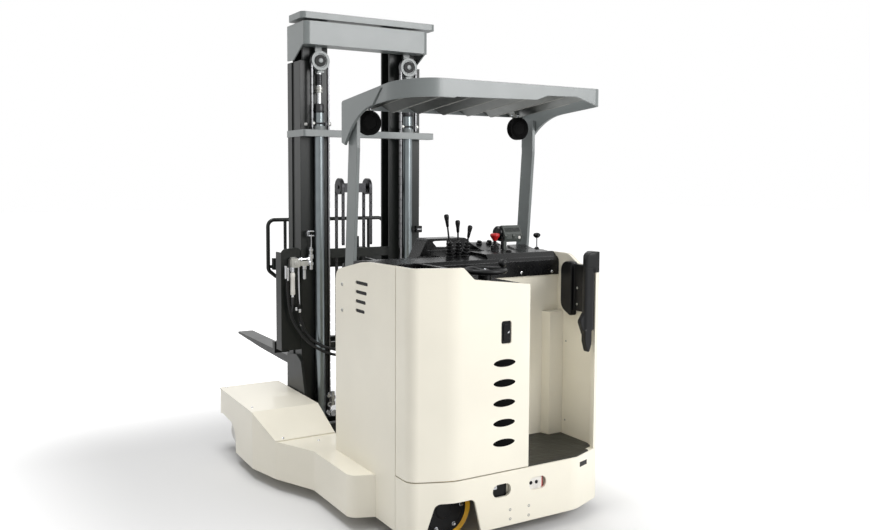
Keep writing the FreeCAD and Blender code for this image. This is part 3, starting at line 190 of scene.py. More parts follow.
FINISHES = {
    "cream_paint": (paint, (0.83, 0.79, 0.675), dict(roughness=0.32, coat=0.3)),
    "grey_paint": (paint, (0.162, 0.179, 0.178), dict(roughness=0.32, coat=0.1, specular=0.6)),
    "black_paint": (paint, (0.013, 0.015, 0.014),
                    dict(roughness=0.30, variation=0.1, specular=0.3)),
    "black_plastic": (moulded, (0.0035, 0.0035, 0.004),
                      dict(roughness=0.20, depth=0.05, index=1.30)),
    "grey_plastic": (moulded, (0.060, 0.068, 0.062), dict(roughness=0.42)),
    "red_plastic": (moulded, (0.46, 0.010, 0.012), dict(roughness=0.3, depth=0.05)),
    "black_vinyl": (rubber, (0.0045, 0.0047, 0.0053),
                    dict(roughness=0.38, grain=500, specular=0.3)),
    "mat_rubber": (rubber, (0.019, 0.0195, 0.0155),
                   dict(roughness=0.45, grain=260, specular=0.4, creases=0.008)),
    "amber_polyurethane": (rubber, (0.95, 0.50, 0.025), dict(roughness=0.38, grain=120)),
    "pale_polyurethane": (rubber, (0.74, 0.72, 0.68), dict(roughness=0.45, grain=120)),
    "hub_iron": (paint, (0.006, 0.006, 0.0065),
                 dict(roughness=0.42, variation=0.1, peel=0.2, specular=0.2)),
    "dark_steel": (metal, (0.055, 0.055, 0.058), dict(roughness=0.36)),
    "plated_rod": (metal, (0.62, 0.63, 0.65), dict(roughness=0.16)),
    "hose_rubber": (rubber, (0.006, 0.006, 0.006), dict(roughness=0.38, grain=200, specular=0.3)),
    "battery_case": (paint, (0.03, 0.034, 0.04), dict(roughness=0.5)),
    "motor_case": (metal, (0.40, 0.40, 0.38), dict(roughness=0.42)),
    "lamp_black": (moulded, (0.002, 0.002, 0.002), dict(roughness=0.45, index=1.12)),
}
MATERIALS = {slot: kind(slot, colour, **look) for slot, (kind, colour, look) in FINISHES.items()}

# Four nodes have a look of their own: the rams and the roof's slats shine beside the enamel, the
# long chains are brighter than other dark steel, and the console reflects more than small fittings.
NODE_MATERIALS = {
    "lift_cylinders": metal("ram_steel", (0.235, 0.265, 0.275), roughness=0.30),
    "console": moulded("console_plastic", (0.0030, 0.0031, 0.0035), roughness=0.27, depth=0.02,
                       index=1.40),
    "guard_slats": metal("slat_steel", (0.20, 0.21, 0.205), roughness=0.34),
    "mast_chains": metal("chain_steel", (0.16, 0.16, 0.165), roughness=0.38, stretch=(1, 1, 1),
                         scale=300, wear=0.15),
}
for sub_part in frame["record"]["subparts"]:
    node = sub_part["node"]
    for holder in frame["nodes"][node].material_slots:
        holder.link = "OBJECT"
        holder.material = NODE_MATERIALS.get(node, MATERIALS[sub_part["material_slot"]])


# -------------------- mesh helpers
ARC_STEPS = 6
SHARP_ANGLE = math.radians(35)
PIPE_ROUNDNESS = 3
HOSE_ROUNDNESS = 5


def new_object(name, mesh, slot, body, *replaced):
    """A finished piece: the material named by its slot, and the body it rides on."""
    made = bpy.data.objects.new(name, mesh)
    bpy.context.collection.objects.link(made)
    mesh.materials.clear()
    mesh.materials.append(MATERIALS[slot])
    if replaced:
        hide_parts(*replaced)
    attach(made, body)
    return made


def mesh_from(name, build):
    """A mesh filled by a function that adds its shapes to a bmesh."""
    mesh = bpy.data.meshes.new(name)
    shape = bmesh.new()
    build(shape)
    bmesh.ops.recalc_face_normals(shape, faces=shape.faces)
    shape.to_mesh(mesh)
    shape.free()
    return mesh


def piece(name, slot, body, build, *replaced):
    """A piece from a function that fills its bmesh, smooth but for its sharp edges."""
    mesh = mesh_from(name, build)
    mesh.shade_smooth()
    mesh.set_sharp_from_angle(angle=SHARP_ANGLE)
    new_object(name, mesh, slot, body, *replaced)


def melted(mesh, voxel, rounds):
    """One skin over overlapping solids, with its corners worn round."""
    holder = bpy.data.objects.new("melting", mesh)
    bpy.context.collection.objects.link(holder)
    remesh = holder.modifiers.new("remesh", "REMESH")
    remesh.mode = "VOXEL"
    remesh.voxel_size = voxel
    smooth = holder.modifiers.new("smooth", "SMOOTH")
    smooth.factor = 0.5
    smooth.iterations = rounds
    graph = bpy.context.evaluated_depsgraph_get()
    made = bpy.data.meshes.new_from_object(holder.evaluated_get(graph))
    bpy.data.objects.remove(holder)
    made.shade_smooth()
    return made


def arc_corner(before, corner, after, radius):
    """The points that round one corner of an outline."""
    back = (before - corner).normalized()
    ahead = (after - corner).normalized()
    half = back.angle(ahead) / 2
    reach = radius / math.tan(half)
    centre = corner + (back + ahead).normalized() * (radius / math.sin(half))
    arm = corner + back * reach - centre
    turn = arm.angle_signed(corner + ahead * reach - centre)
    return [centre + Matrix.Rotation(-turn * step / ARC_STEPS, 2) @ arm
            for step in range(ARC_STEPS + 1)]


def rounded(corners):
    """An outline in a plane from corners given as (u, v) or (u, v, radius)."""
    spots = [Vector(corner[:2]) for corner in corners]
    points = []
    for index, corner in enumerate(corners):
        if len(corner) == 2:
            points.append(spots[index])
            continue
        after = spots[(index + 1) % len(spots)]
        points += arc_corner(spots[index - 1], spots[index], after, corner[2])
    return points


def plan(u, v, w):
    """Where an outline drawn from above lies, as (x, y) at a height."""
    return at(u, v, w)


def rear_view(u, v, w):
    """Where an outline drawn from behind lies, as (y, z) at a distance ahead."""
    return at(w, u, v)


def rear_upright(u, v, w):
    """The same, drawn as (z, y)."""
    return at(w, v, u)


def profile(u, v, w):
    """Where an outline drawn from the side lies, as (x, z) at a distance to the left."""
    return at(u, w, v)


def layers(shape, outlines, levels, lift):
    """A solid through outlines of as many points, each at its own level."""
    rows = [[shape.verts.new(lift(u, v, w)) for u, v in outline]
            for outline, w in zip(outlines, levels)]
    shape.faces.new(rows[0])
    shape.faces.new(list(reversed(rows[-1])))
    for low, high in zip(rows, rows[1:]):
        for index in range(len(low)):
            shape.faces.new((low[index - 1], high[index - 1], high[index], low[index]))


def slab(shape, corners, low, high, lift):
    """A plate between two levels, from corners as rounded() takes them."""
    outline = rounded(corners)
    layers(shape, [outline, outline], [low, high], lift)


def square_axes(axis):
    """An axis of length 1 and two directions square to it."""
    way = Vector(axis).normalized()
    across = way.orthogonal().normalized()
    return way, across, way.cross(across)


def turned(shape, centre, axis, steps, sides=24):
    """Revolve (distance, radius) steps about an axis; both ends are closed."""
    way, across, other = square_axes(axis)
    turns = [math.tau * (k + 0.5) / sides for k in range(sides)]
    rows = [[shape.verts.new(centre + way * distance + radius * (
        math.cos(turn) * across + math.sin(turn) * other)) for turn in turns]
        for distance, radius in steps]
    for low, high in zip(rows, rows[1:]):
        for k in range(sides):
            shape.faces.new((low[k - 1], low[k], high[k], high[k - 1]))
    shape.faces.new(list(reversed(rows[0])))
    shape.faces.new(rows[-1])


def ring(shape, centre, axis, radius, thickness, segments=48, sides=12):
    """A round rim about an axis."""
    way, across, other = square_axes(axis)
    rows = []
    for k in range(segments):
        turn = math.tau * k / segments
        out = math.cos(turn) * across + math.sin(turn) * other
        rows.append([shape.verts.new(centre + out * (radius + thickness * math.cos(t))
                                     + way * thickness * math.sin(t))
                     for t in [math.tau * j / sides for j in range(sides)]])
    for k in range(segments):
        for j in range(sides):
            shape.faces.new((rows[k - 1][j - 1], rows[k][j - 1], rows[k][j], rows[k - 1][j]))


def block(shape, low, high, chamfer):
    """A bar between two corners with its edges rounded."""
    low, high = Vector(low), Vector(high)
    made = bmesh.ops.create_cube(shape, size=1)["verts"]
    for vert in made:
        spot = Vector([c * (h - l) for c, h, l in zip(vert.co, high, low)])
        vert.co = (low + high) / 2 + spot
    edges = list(dict.fromkeys(edge for vert in made for edge in vert.link_edges))
    bmesh.ops.bevel(shape, geom=edges, offset=chamfer, segments=2, affect="EDGES")


def smooth_curve(name, points, radius, roundness):
    """A round tube on the NURBS line that has these control points."""
    curve = bpy.data.curves.new(name, "CURVE")
    curve.dimensions = "3D"
    line = curve.splines.new("NURBS")
    line.points.add(len(points) - 1)
    for spot, point in zip(line.points, points):
        spot.co = (*point, 1)
    line.order_u = 3
    line.use_endpoint_u = True
    curve.bevel_depth = radius
    curve.bevel_resolution = roundness
    curve.use_fill_caps = True
    return curve


def piped(shape, points, radius):
    """A rigid pipe, rod or stay of one smooth line."""
    curve = smooth_curve("pipe", points, radius, PIPE_ROUNDNESS)
    holder = bpy.data.objects.new("pipe", curve)
    mesh = bpy.data.meshes.new_from_object(holder)
    shape.from_mesh(mesh)
    bpy.data.objects.remove(holder)
    bpy.data.curves.remove(curve)
    bpy.data.meshes.remove(mesh)


def hexagon_bolt(shape, spot, axis, size):
    """A bolt head with its washer; size is the washer's width."""
    turned(shape, spot, axis, [
        (-0.001, size / 2), (size * 0.08, size / 2), (size * 0.12, size * 0.44)])
    turned(shape, spot, axis, [
        (0, size * 0.38), (size * 0.34, size * 0.38), (size * 0.42, size * 0.3)], sides=6)


def dome_screw(shape, spot, axis, size):
    """A button-head screw with a socket; size is its width."""
    turned(shape, spot, axis, [
        (-0.001, size / 2), (size * 0.06, size / 2), (size * 0.2, size * 0.42),
        (size * 0.28, size * 0.28), (size * 0.28, size * 0.2), (size * 0.12, size * 0.18)],
        sides=12)


def nut(shape, spot, axis, radius, length):
    turned(shape, spot, axis, [
        (0, radius * 0.9), (length * 0.12, radius), (length * 0.88, radius),
        (length, radius * 0.9)], sides=6)


SURFACES = {}


def surface(body, spot, way):
    """Where a line from a spot first meets a body's solids, and which way they face there."""
    if body not in SURFACES:
        points, faces = [], []
        for node in frame["record"]["behaviour"]["bodies"][body]:
            mesh = frame["nodes"][node].data
            start = len(points)
            points += [vert.co.copy() for vert in mesh.vertices]
            faces += [[start + index for index in face.vertices] for face in mesh.polygons]
        SURFACES[body] = BVHTree.FromPolygons(points, faces)
    place, normal, _, _ = SURFACES[body].ray_cast(spot, Vector(way))
    if place is None:
        raise ValueError(f"no {body} surface from {tuple(spot)} along {way}")
    if normal.dot(Vector(way)) > 0:
        normal.negate()
    return place, normal


def seated(shape, spots, way, size, fitting):
    """Fasteners on the chassis, where lines from the spots meet it."""
    for spot in spots:
        place, normal = surface("chassis", at(*spot), way)
        fitting(shape, place, normal, size)


# -------------------- back pad
PAD_WALL = -0.570           # the right wall's inner face
UPRIGHT_END = -0.5295       # the upright's side towards the wall
CAP_FACE = -0.457           # the upright's face towards the operator
CAP_LEAN = 0.044            # how far the cap's top leans back from that face
CAP_FOOT, CAP_START, CAP_HEIGHT, CAP_STEPS = 1.288, 1.306, 0.065, 10
UPRIGHT_FACE = ((0.064, CAP_FACE, 0.014), (0.097, -0.466, 0.014), (0.129, -0.522, 0.012))
CAP_SIDE = ((0.065, -0.547), (0.058, -0.548, 0.004), (0.052, -0.520, 0.010))


def back_pad_form(shape):
    """The moulded pad on the right wall: cushion, bolting strip, upright with cap and grip."""
    slab(shape, [
        (0.354, 1.301, 0.050), (0.264, 1.301, 0.004), (0.264, 1.003, 0.010),
        (0.354, 1.046, 0.058)], PAD_WALL + 0.001, PAD_WALL + 0.041, profile)
    slab(shape, [(0.181, 1.036), (0.266, 1.036), (0.266, 1.289), (0.181, 1.289)],
         PAD_WALL + 0.001, PAD_WALL + 0.019, profile)
    slab(shape, [
        (0.073, UPRIGHT_END), (0.061, -0.506, 0.010), *UPRIGHT_FACE, (0.126, -0.547),
        (0.189, -0.547), (0.189, -0.559), (0.116, -0.551), (0.096, UPRIGHT_END)],
        0.961, 1.291, plan)
    cap = rounded([*CAP_SIDE, *UPRIGHT_FACE, (0.123, -0.546)])
    rises = [step / CAP_STEPS for step in range(CAP_STEPS + 1)]
    inner = [CAP_FACE - CAP_LEAN * (1 - math.sqrt(1 - rise ** 2)) for rise in rises]
    layers(shape, [cap] + [[(u, min(v, edge)) for u, v in cap] for edge in inner],
           [CAP_FOOT] + [CAP_START + CAP_HEIGHT * rise for rise in rises], plan)
    slab(shape, [*CAP_SIDE, (0.061, -0.506), (0.073, UPRIGHT_END), (0.065, UPRIGHT_END)],
         1.263, 1.292, plan)
    slab(shape, [
        (0.850, -0.478, 0.008), (0.850, -0.492, 0.008), (0.892, -0.506), (0.965, -0.506),
        (0.965, -0.461), (0.905, -0.461)], 0.062, 0.094, rear_upright)
    slab(shape, [
        (1.060, -0.480), (1.050, -0.462), (1.010, -0.436, 0.020), (0.941, -0.463),
        (0.932, -0.480)], 0.073, 0.101, rear_upright)


skin = new_object("back_pad_skin", melted(mesh_from("back_pad_form", back_pad_form), voxel=0.003,
                                          rounds=5), "black_vinyl", "chassis", "back_pad")


# -------------------- operator's controls
WHEEL_HUB = (0.250, 0.040, 1.285)
RIM_RADIUS = 0.101
RIM_THICKNESS = 0.0128
SPOKE_MIDDLE = Vector((0.058, 0, -0.001))
SPOKE_HALF = Vector((0.040, 0.013, 0.005))
KNOB_REACH = 0.109

# Each lever: its place across, the radius of its boot, and its top.
LEVERS = ((0.049, 0.0275, (0.568, 0.076, 1.556)), (0.002, 0.0235, (0.562, 0.008, 1.524)),
          (-0.037, 0.0240, (0.562, -0.074, 1.494)))
LEVER_FOOT_X, LEVER_FOOT_Z = 0.560, 1.322
LEVER_ROD = 0.0048
BOOT_FOLDS, FOLD_PITCH, FOLD_TAPER = 5, 0.017, 0.0024
GRIP_LENGTH = 0.068
SMALL_LEVER = (0.603, -0.553, 1.340)
STOP = (0.624, -0.277)
DISPLAY_RIBS, RIB_PITCH, RIB_ENDS = 5, 0.0045, (-0.462, -0.358)
RIB_HALF = Vector((0.0015, 0, 0.0010))
SOCKETS_Y = (-0.262, -0.330)
ROCKERS, ROCKER_PITCH = 4, 0.034
ABOVE_SHELF = 1.60


def steering_wheel(shape):
    """Round rim, two flat spokes, a bossed hub and the ball knob."""
    hub = at(*WHEEL_HUB)
    ring(shape, hub, UP, RIM_RADIUS, RIM_THICKNESS)
    turned(shape, hub, UP, [
        (-0.014, 0.022), (-0.012, 0.026), (0.002, 0.026), (0.006, 0.020), (0.006, 0.0)])
    for degrees in (0, 180):
        middle = hub + Matrix.Rotation(math.radians(degrees), 3, "Z") @ SPOKE_MIDDLE
        block(shape, middle - SPOKE_HALF, middle + SPOKE_HALF, 0.004)
    turned(shape, hub + Vector((0, -KNOB_REACH, 0)), UP, [
        (0.004, 0.009), (0.013, 0.009), (0.015, 0.014), (0.021, 0.0200), (0.028, 0.0225),
        (0.036, 0.0225), (0.043, 0.0195), (0.0485, 0.013), (0.051, 0.004)])


def steering_boss_bolt(shape):
    dome_screw(shape, at(*WHEEL_HUB) + Vector((0, 0, 0.005)), UP, 0.015)


def lever_line(y, top):
    """A lever's foot, the way it points and its length."""
    base = at(LEVER_FOOT_X, y, LEVER_FOOT_Z)
    way = at(*top) - base
    return base, way.normalized(), way.length


def lever_grips(shape):
    """Ringed boots that taper up, long bulb grips, and the small lever's boot and knob."""
    for y, broad, top in LEVERS:
        base, way, length = lever_line(y, top)
        rings = []
        for fold in range(BOOT_FOLDS):
            foot, radius = 0.002 + FOLD_PITCH * fold, broad - FOLD_TAPER * fold
            rings += [(foot, radius - 0.005), (foot + 0.004, radius), (foot + 0.012, radius),
                      (foot + 0.015, radius - 0.005)]
        turned(shape, base, way, [(-0.004, broad)] + rings + [(0.094, 0.006)], sides=28)
        start = length - GRIP_LENGTH
        turned(shape, base, way, [
            (start, 0.0055), (start + 0.003, 0.0075), (start + 0.030, 0.0095),
            (start + 0.050, 0.0130), (start + 0.060, 0.0132), (start + 0.066, 0.010),
            (start + GRIP_LENGTH, 0.005)], sides=20)
    knob = at(*SMALL_LEVER)
    turned(shape, knob, UP, [(-0.002, 0.017), (0.004, 0.017), (0.014, 0.011), (0.018, 0.006)], 20)
    turned(shape, knob, UP, [
        (0.068, 0.006), (0.071, 0.012), (0.077, 0.0185), (0.084, 0.0215), (0.090, 0.0200),
        (0.0955, 0.0140), (0.098, 0.006)], sides=20)


def lever_rods(shape):
    for y, _, top in LEVERS:
        base, way, length = lever_line(y, top)
        turned(shape, base, way, [(0.070, LEVER_ROD), (length - 0.066, LEVER_ROD)], sides=12)


def small_lever_rod(shape):
    turned(shape, at(*SMALL_LEVER), UP, [(0.010, 0.004), (0.074, 0.004)], sides=12)


def stop_head(shape):
    """The red mushroom head, dished on top."""
    turned(shape, at(*STOP, 1.400), UP, [
        (0, 0.012), (0.004, 0.0125), (0.022, 0.0245), (0.027, 0.027), (0.033, 0.027),
        (0.038, 0.0245), (0.0415, 0.018), (0.041, 0.008)], sides=32)


def stop_stem(shape):
    """Its black stem, guard ring and lock nut."""
    foot = at(*STOP, 1.345)
    turned(shape, foot, UP, [(0, 0.009), (0.058, 0.009)], sides=20)
    turned(shape, foot, UP, [(0.018, 0.0225), (0.026, 0.0225), (0.030, 0.019), (0.030, 0.009)], 32)
    turned(shape, foot, UP, [(0.028, 0.0145), (0.036, 0.0145), (0.038, 0.012)], sides=6)


def display_trim(shape):
    """The display's round clamp, the post under it and the ribs on its face."""
    turned(shape, at(0.690, -0.352, 1.437), FROM_RIGHT, [
        (-0.002, 0.040), (0.014, 0.040), (0.022, 0.034), (0.026, 0.020)], sides=32)
    turned(shape, at(0.648, -0.346, 1.350), UP, [(0, 0.011), (0.050, 0.009), (0.070, 0.008)], 16)
    for rib in range(DISPLAY_RIBS):
        low, high = [surface("chassis", at(0.560, y, 1.448 + RIB_PITCH * rib), AHEAD)[0]
                     for y in RIB_ENDS]
        block(shape, low - RIB_HALF, high + RIB_HALF, 0.0004)


def display_button(shape):
    place, normal = surface("chassis", at(0.560, -0.452, 1.412), AHEAD)
    turned(shape, place, normal, [(-0.002, 0.0085), (0.002, 0.0085), (0.0035, 0.0065)], sides=20)


def console_switches(shape):
    """Two round sockets, a row of rocker switches and a key switch on the shelf."""
    for y in SOCKETS_Y:
        place, normal = surface("chassis", at(0.760, y, ABOVE_SHELF), DOWN)
        turned(shape, place, normal, [
            (-0.004, 0.017), (0.006, 0.017), (0.008, 0.0145), (0.018, 0.0135), (0.020, 0.010)])
    for k in range(ROCKERS):
        place, _ = surface("chassis", at(0.690, 0.060 + ROCKER_PITCH * k, ABOVE_SHELF), DOWN)
        block(shape, place + Vector((-0.017, -0.011, -0.004)),
              place + Vector((0.017, 0.011, 0.006)), 0.002)
    place, normal = surface("chassis", at(0.520, -0.300, ABOVE_SHELF), DOWN)
    turned(shape, place, normal, [(-0.004, 0.016), (0.006, 0.016), (0.008, 0.013), (0.012, 0.012)])


piece("steering_wheel_round", "black_vinyl", "steering", steering_wheel, "steering_wheel")
piece("steering_boss_bolt", "plated_rod", "steering", steering_boss_bolt)
piece("lever_grips", "black_plastic", "chassis", lever_grips, "control_levers")
piece("lever_rods", "hub_iron", "chassis", lever_rods)
piece("small_lever_rod", "plated_rod", "chassis", small_lever_rod)
piece("stop_head", "red_plastic", "chassis", stop_head, "stop_button")
piece("stop_stem", "black_plastic", "chassis", stop_stem)
piece("display_trim", "black_plastic", "chassis", display_trim)
piece("display_button", "pale_polyurethane", "chassis", display_button)
piece("console_switches", "black_plastic", "chassis", console_switches)


# -------------------- lamps
LAMPS = ((0.464, 2.030), (-0.484, 2.030))
LAMP_REAR = 0.684
FINS, FIN_PITCH, FIN_WIDTH, FIN_FOOT, FIN_TOP = 5, 0.0075, 0.0035, 0.054, 0.0635


def lamp_cans(shape):
    """Round cans with a dished rear and cooling fins."""
    for y, z in LAMPS:
        fins = []
        for fin in range(FINS):
            x = 0.004 + FIN_PITCH * fin
            fins += [(x, FIN_FOOT), (x, FIN_TOP),
                     (x + FIN_WIDTH, FIN_TOP), (x + FIN_WIDTH, FIN_FOOT)]
        turned(shape, at(LAMP_REAR, y, z), AHEAD, [
            (0.003, 0.010), (0.003, 0.034), (0.0005, 0.037), (0.0005, 0.046), (0.003, 0.050),
            *fins, (0.050, 0.050), (0.056, 0.034)], sides=40)


def lamp_stays(shape):
    """The flat stay from the roof to each can, and the plate that its bolts go through."""
    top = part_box("work_lamps")[1][2] - 0.001
    for y, z in LAMPS:
        block(shape, at(0.735, y - 0.013, z - 0.012), at(0.743, y + 0.013, top), 0.001)
        block(shape, at(0.733, y - 0.032, z + 0.066), at(0.742, y + 0.032, z + 0.086), 0.002)


def lamp_bolts(shape):
    for y, z in LAMPS:
        for across in (-0.020, 0.020):
            hexagon_bolt(shape, at(0.733, y + across, z + 0.076), BACK, 0.017)


piece("lamp_cans", "lamp_black", "chassis", lamp_cans, "work_lamps")
piece("lamp_stays", "motor_case", "chassis", lamp_stays)
piece("lamp_bolts", "plated_rod", "chassis", lamp_bolts)


# -------------------- body fasteners and trim
CONSOLE_BOLTS = ((0.30, -0.314, 1.238), (0.30, -0.520, 1.235))
COVER_SCREWS = ((2.085, 0.806), (1.524, 0.826), (1.196, 0.759), (1.091, 0.589))
PANEL_SCREWS = ((0.806, 0.75, 1.187), (0.807, 0.75, 1.050))
WALL_SCREWS = ((0.350, -0.40, 0.411), (0.350, -0.40, 0.853))
PAD_BOLTS_Z = (1.161, 1.073)
SKIRT_BOLTS = ((0.049, 0.137), (0.048, 0.091), (-0.064, 0.136), (-0.064, 0.088))
PLATE_CORNERS = ((-0.396, 0.270), (-0.466, 0.268), (-0.466, 0.292), (-0.396, 0.296))
VANES, VANE_PITCH, FIRST_VANE = 7, 0.160, -0.5277
VANE_HEIGHT, VANE_FALL, VANE_REAR = 2.1637, 0.0973, 0.134
LIP_RADIUS = 0.0042
VENTS, VENT_PITCH, VENT_TOP, VENT_MIDDLE = 5, 0.09725, 0.865, 0.090
VENT_POINTS, VENT_POINTED = 40, 1.15
# Half the width and half the height of a vent's dark plate of painted shade, and how far ahead of
# the rear face.
VENT_LAYERS = ((0.0640, 0.0185, 0.0090), (0.0640, 0.0185, -0.0001), (0.0634, 0.0180, -0.0004))
SLOTS, SLOT_PITCH, SLOT_TOP, SLOT_STEP = 4, 0.048, 1.215, 0.012
SLOT_REAR, SLOT_FRONT, SLOT_HALF, SLOT_ROUND = 0.505, 0.646, 0.0095, 0.009


def wall_screws(shape):
    """Two small screws on the compartment's right wall."""
    seated(shape, WALL_SCREWS, FROM_LEFT, 0.011, dome_screw)


def slat_lips(shape):
    """The rolled lower edges of the roof's vanes, which catch the light."""
    for row in range(VANES):
        y = FIRST_VANE + VANE_PITCH * row
        start, end = (0.150, 0.795) if 0 < row < VANES - 1 else (0.300, 0.790)
        piped(shape, [at(x, y, VANE_HEIGHT - VANE_FALL * (x - VANE_REAR))
                      for x in (start, (start + end) / 2, end)], LIP_RADIUS)


def chassis_screws(shape):
    """Bolts on the console's rear face and screws of the leg covers."""
    seated(shape, CONSOLE_BOLTS, AHEAD, 0.017, hexagon_bolt)
    for side in SIDES:
        seated(shape, [(x, side * y, 0.60) for x, y in COVER_SCREWS], DOWN, 0.015, dome_screw)


def panel_screws(shape):
    """Screws at the left panel's front edge."""
    seated(shape, PANEL_SCREWS, FROM_LEFT, 0.021, dome_screw)


def pad_bolts(shape):
    """Two screws on the pad's bolting strip."""
    for z in PAD_BOLTS_Z:
        dome_screw(shape, at(0.239, -0.551, z), FROM_RIGHT, 0.014)


def skirt_bolts(shape):
    """Flush socket screws in the skirt's rear face."""
    for y, z in SKIRT_BOLTS:
        turned(shape, at(0, y, z), BACK, [
            (-0.004, 0.0075), (0.0001, 0.0075), (0.0004, 0.0068), (0.0004, 0.0032),
            (-0.002, 0.0030)], sides=18)


def bare_plate(shape):
    """A bare dark plate on the skirt's slanted rear right corner."""
    corners = [surface("chassis", at(-0.2, y, z), AHEAD) for y, z in PLATE_CORNERS]
    low = [shape.verts.new(place - normal * 0.001) for place, normal in corners]
    high = [shape.verts.new(place + normal * 0.0006) for place, normal in corners]
    shape.faces.new(high)
    shape.faces.new(list(reversed(low)))
    for k in range(len(corners)):
        shape.faces.new((low[k - 1], low[k], high[k], high[k - 1]))


def vent_shade_plates(shape):
    """Dark lens-shaped plates in the door's vents: painted shade for the dark inside seen through
    them.
    """
    turns = [math.tau * k / VENT_POINTS for k in range(VENT_POINTS)]
    for row in range(VENTS):
        z = VENT_TOP - VENT_PITCH * row
        outlines = [[(VENT_MIDDLE + wide * math.cos(turn), z + tall * math.copysign(
            abs(math.sin(turn)) ** VENT_POINTED, math.sin(turn))) for turn in turns]
            for wide, tall, _ in VENT_LAYERS]
        layers(shape, outlines, [depth for _, _, depth in VENT_LAYERS], rear_view)


def latch_handle(shape):
    """The paddle in the latch's recess."""
    slab(shape, [(0.066, 0.972, 0.006), (0.095, 0.972, 0.006), (0.095, 1.050, 0.006),
                 (0.066, 1.050, 0.006)], 0.0020, 0.0060, rear_view)


def latch_tab(shape):
    """The small bright tab beside the paddle."""
    slab(shape, [(0.064, 1.008), (0.076, 1.008), (0.066, 1.018), (0.064, 1.018)],
         0.0004, 0.0030, rear_view)


def side_slot_shade(shape):
    """Dark plates in the left panel's slots, painted shade for the inside seen through them; each
    is shorter than the one above it.
    """
    for row in range(SLOTS):
        z = SLOT_TOP - SLOT_PITCH * row
        rear = SLOT_REAR + SLOT_STEP * row
        slab(shape, [(rear, z - SLOT_HALF, SLOT_ROUND), (SLOT_FRONT, z - SLOT_HALF, SLOT_ROUND),
                     (SLOT_FRONT, z + SLOT_HALF, SLOT_ROUND), (rear, z + SLOT_HALF, SLOT_ROUND)],
             0.5615, 0.5665, profile)


def pocket_walls(shape):
    """The painted plates that close both towing pockets behind."""
    block(shape, at(0.0262, 0.016, 0.186), at(0.030, 0.150, 0.302), 0.001)
    block(shape, at(0.0250, -0.190, 0.186), at(0.029, -0.030, 0.302), 0.001)


def pocket_painted_shade(shape):
    """A dark plate inside the left towing pocket: painted shade in the recess."""
    block(shape, at(0.022, 0.058, 0.196), at(0.026, 0.136, 0.288), 0.001)


def pocket_bolt(shape):
    """The lug and bolt in the left towing pocket."""
    block(shape, at(0.014, 0.118, 0.246), at(0.022, 0.146, 0.276), 0.002)
    hexagon_bolt(shape, at(0.014, 0.130, 0.262), BACK, 0.016)


def pocket_socket(shape):
    """The pale two-hole socket behind the right towing pocket."""
    slab(shape, [(-0.046, 0.204, 0.012), (-0.150, 0.204, 0.014), (-0.150, 0.280, 0.014),
                 (-0.046, 0.280, 0.012)], 0.012, 0.030, rear_view)


def pocket_ring(shape):
    """The red rim round that socket."""
    slab(shape, [(-0.052, 0.197, 0.012), (-0.158, 0.197, 0.020), (-0.158, 0.272, 0.012),
                 (-0.120, 0.272, 0.012)], 0.014, 0.0245, rear_view)


def pocket_hole_shade(shape):
    """Dark discs on the socket's two holes: painted shade in them."""
    for y in (-0.084, -0.118):
        turned(shape, at(0.012, y, 0.243), BACK, [(-0.001, 0.0095), (0.0006, 0.0095)], sides=20)


piece("wall_screws", "motor_case", "chassis", wall_screws)
piece("slat_lips", "motor_case", "chassis", slat_lips)
piece("chassis_screws", "plated_rod", "chassis", chassis_screws)
piece("panel_screws", "motor_case", "chassis", panel_screws)
piece("pad_bolts", "motor_case", "chassis", pad_bolts)
piece("skirt_bolts", "motor_case", "chassis", skirt_bolts)
piece("bare_plate", "black_plastic", "chassis", bare_plate)
# Painted shade: near-black plates fill the door's vents.
piece("door_vent_shade", "lamp_black", "door", vent_shade_plates)
piece("latch_handle", "black_plastic", "door", latch_handle)
piece("latch_tab", "plated_rod", "door", latch_tab)
# Painted shade: dark plates fill the left panel's slots.
piece("side_slot_shade", "hub_iron", "chassis", side_slot_shade)
piece("pocket_walls", "cream_paint", "chassis", pocket_walls)
# Painted shade: a dark plate inside the left towing pocket.
piece("pocket_painted_shade", "hub_iron", "chassis", pocket_painted_shade)
piece("pocket_bolt", "plated_rod", "chassis", pocket_bolt)
piece("pocket_socket", "pale_polyurethane", "chassis", pocket_socket)
piece("pocket_ring", "red_plastic", "chassis", pocket_ring)
# Painted shade: dark discs in the socket's two holes.
piece("pocket_hole_shade", "hub_iron", "chassis", pocket_hole_shade)


# -------------------- hydraulic fittings
FITTING = 1.705             # how far ahead the fittings beside the mast are
PIPE_HEIGHT = 1.238
STACK_Y = 0.372
HOSE_END_Y = 0.498
RAM_X, RAM_Y = 1.704, 0.315
MANIFOLD_X, MANIFOLD_Y = 1.690, 0.236


def valve_body(shape):
    """The cast valve block with its cap and ports."""
    block(shape, at(1.692, 0.448, 1.187), at(1.744, 0.512, 1.244), 0.006)
    turned(shape, at(1.716, 0.486, 1.240), UP, [(0, 0.020), (0.010, 0.020), (0.012, 0.016)])
    turned(shape, at(1.694, 0.478, 1.216), BACK, [(0, 0.014), (0.003, 0.014), (0.006, 0.010)])
    block(shape, at(1.700, 0.380, 1.196), at(1.730, 0.450, 1.226), 0.004)


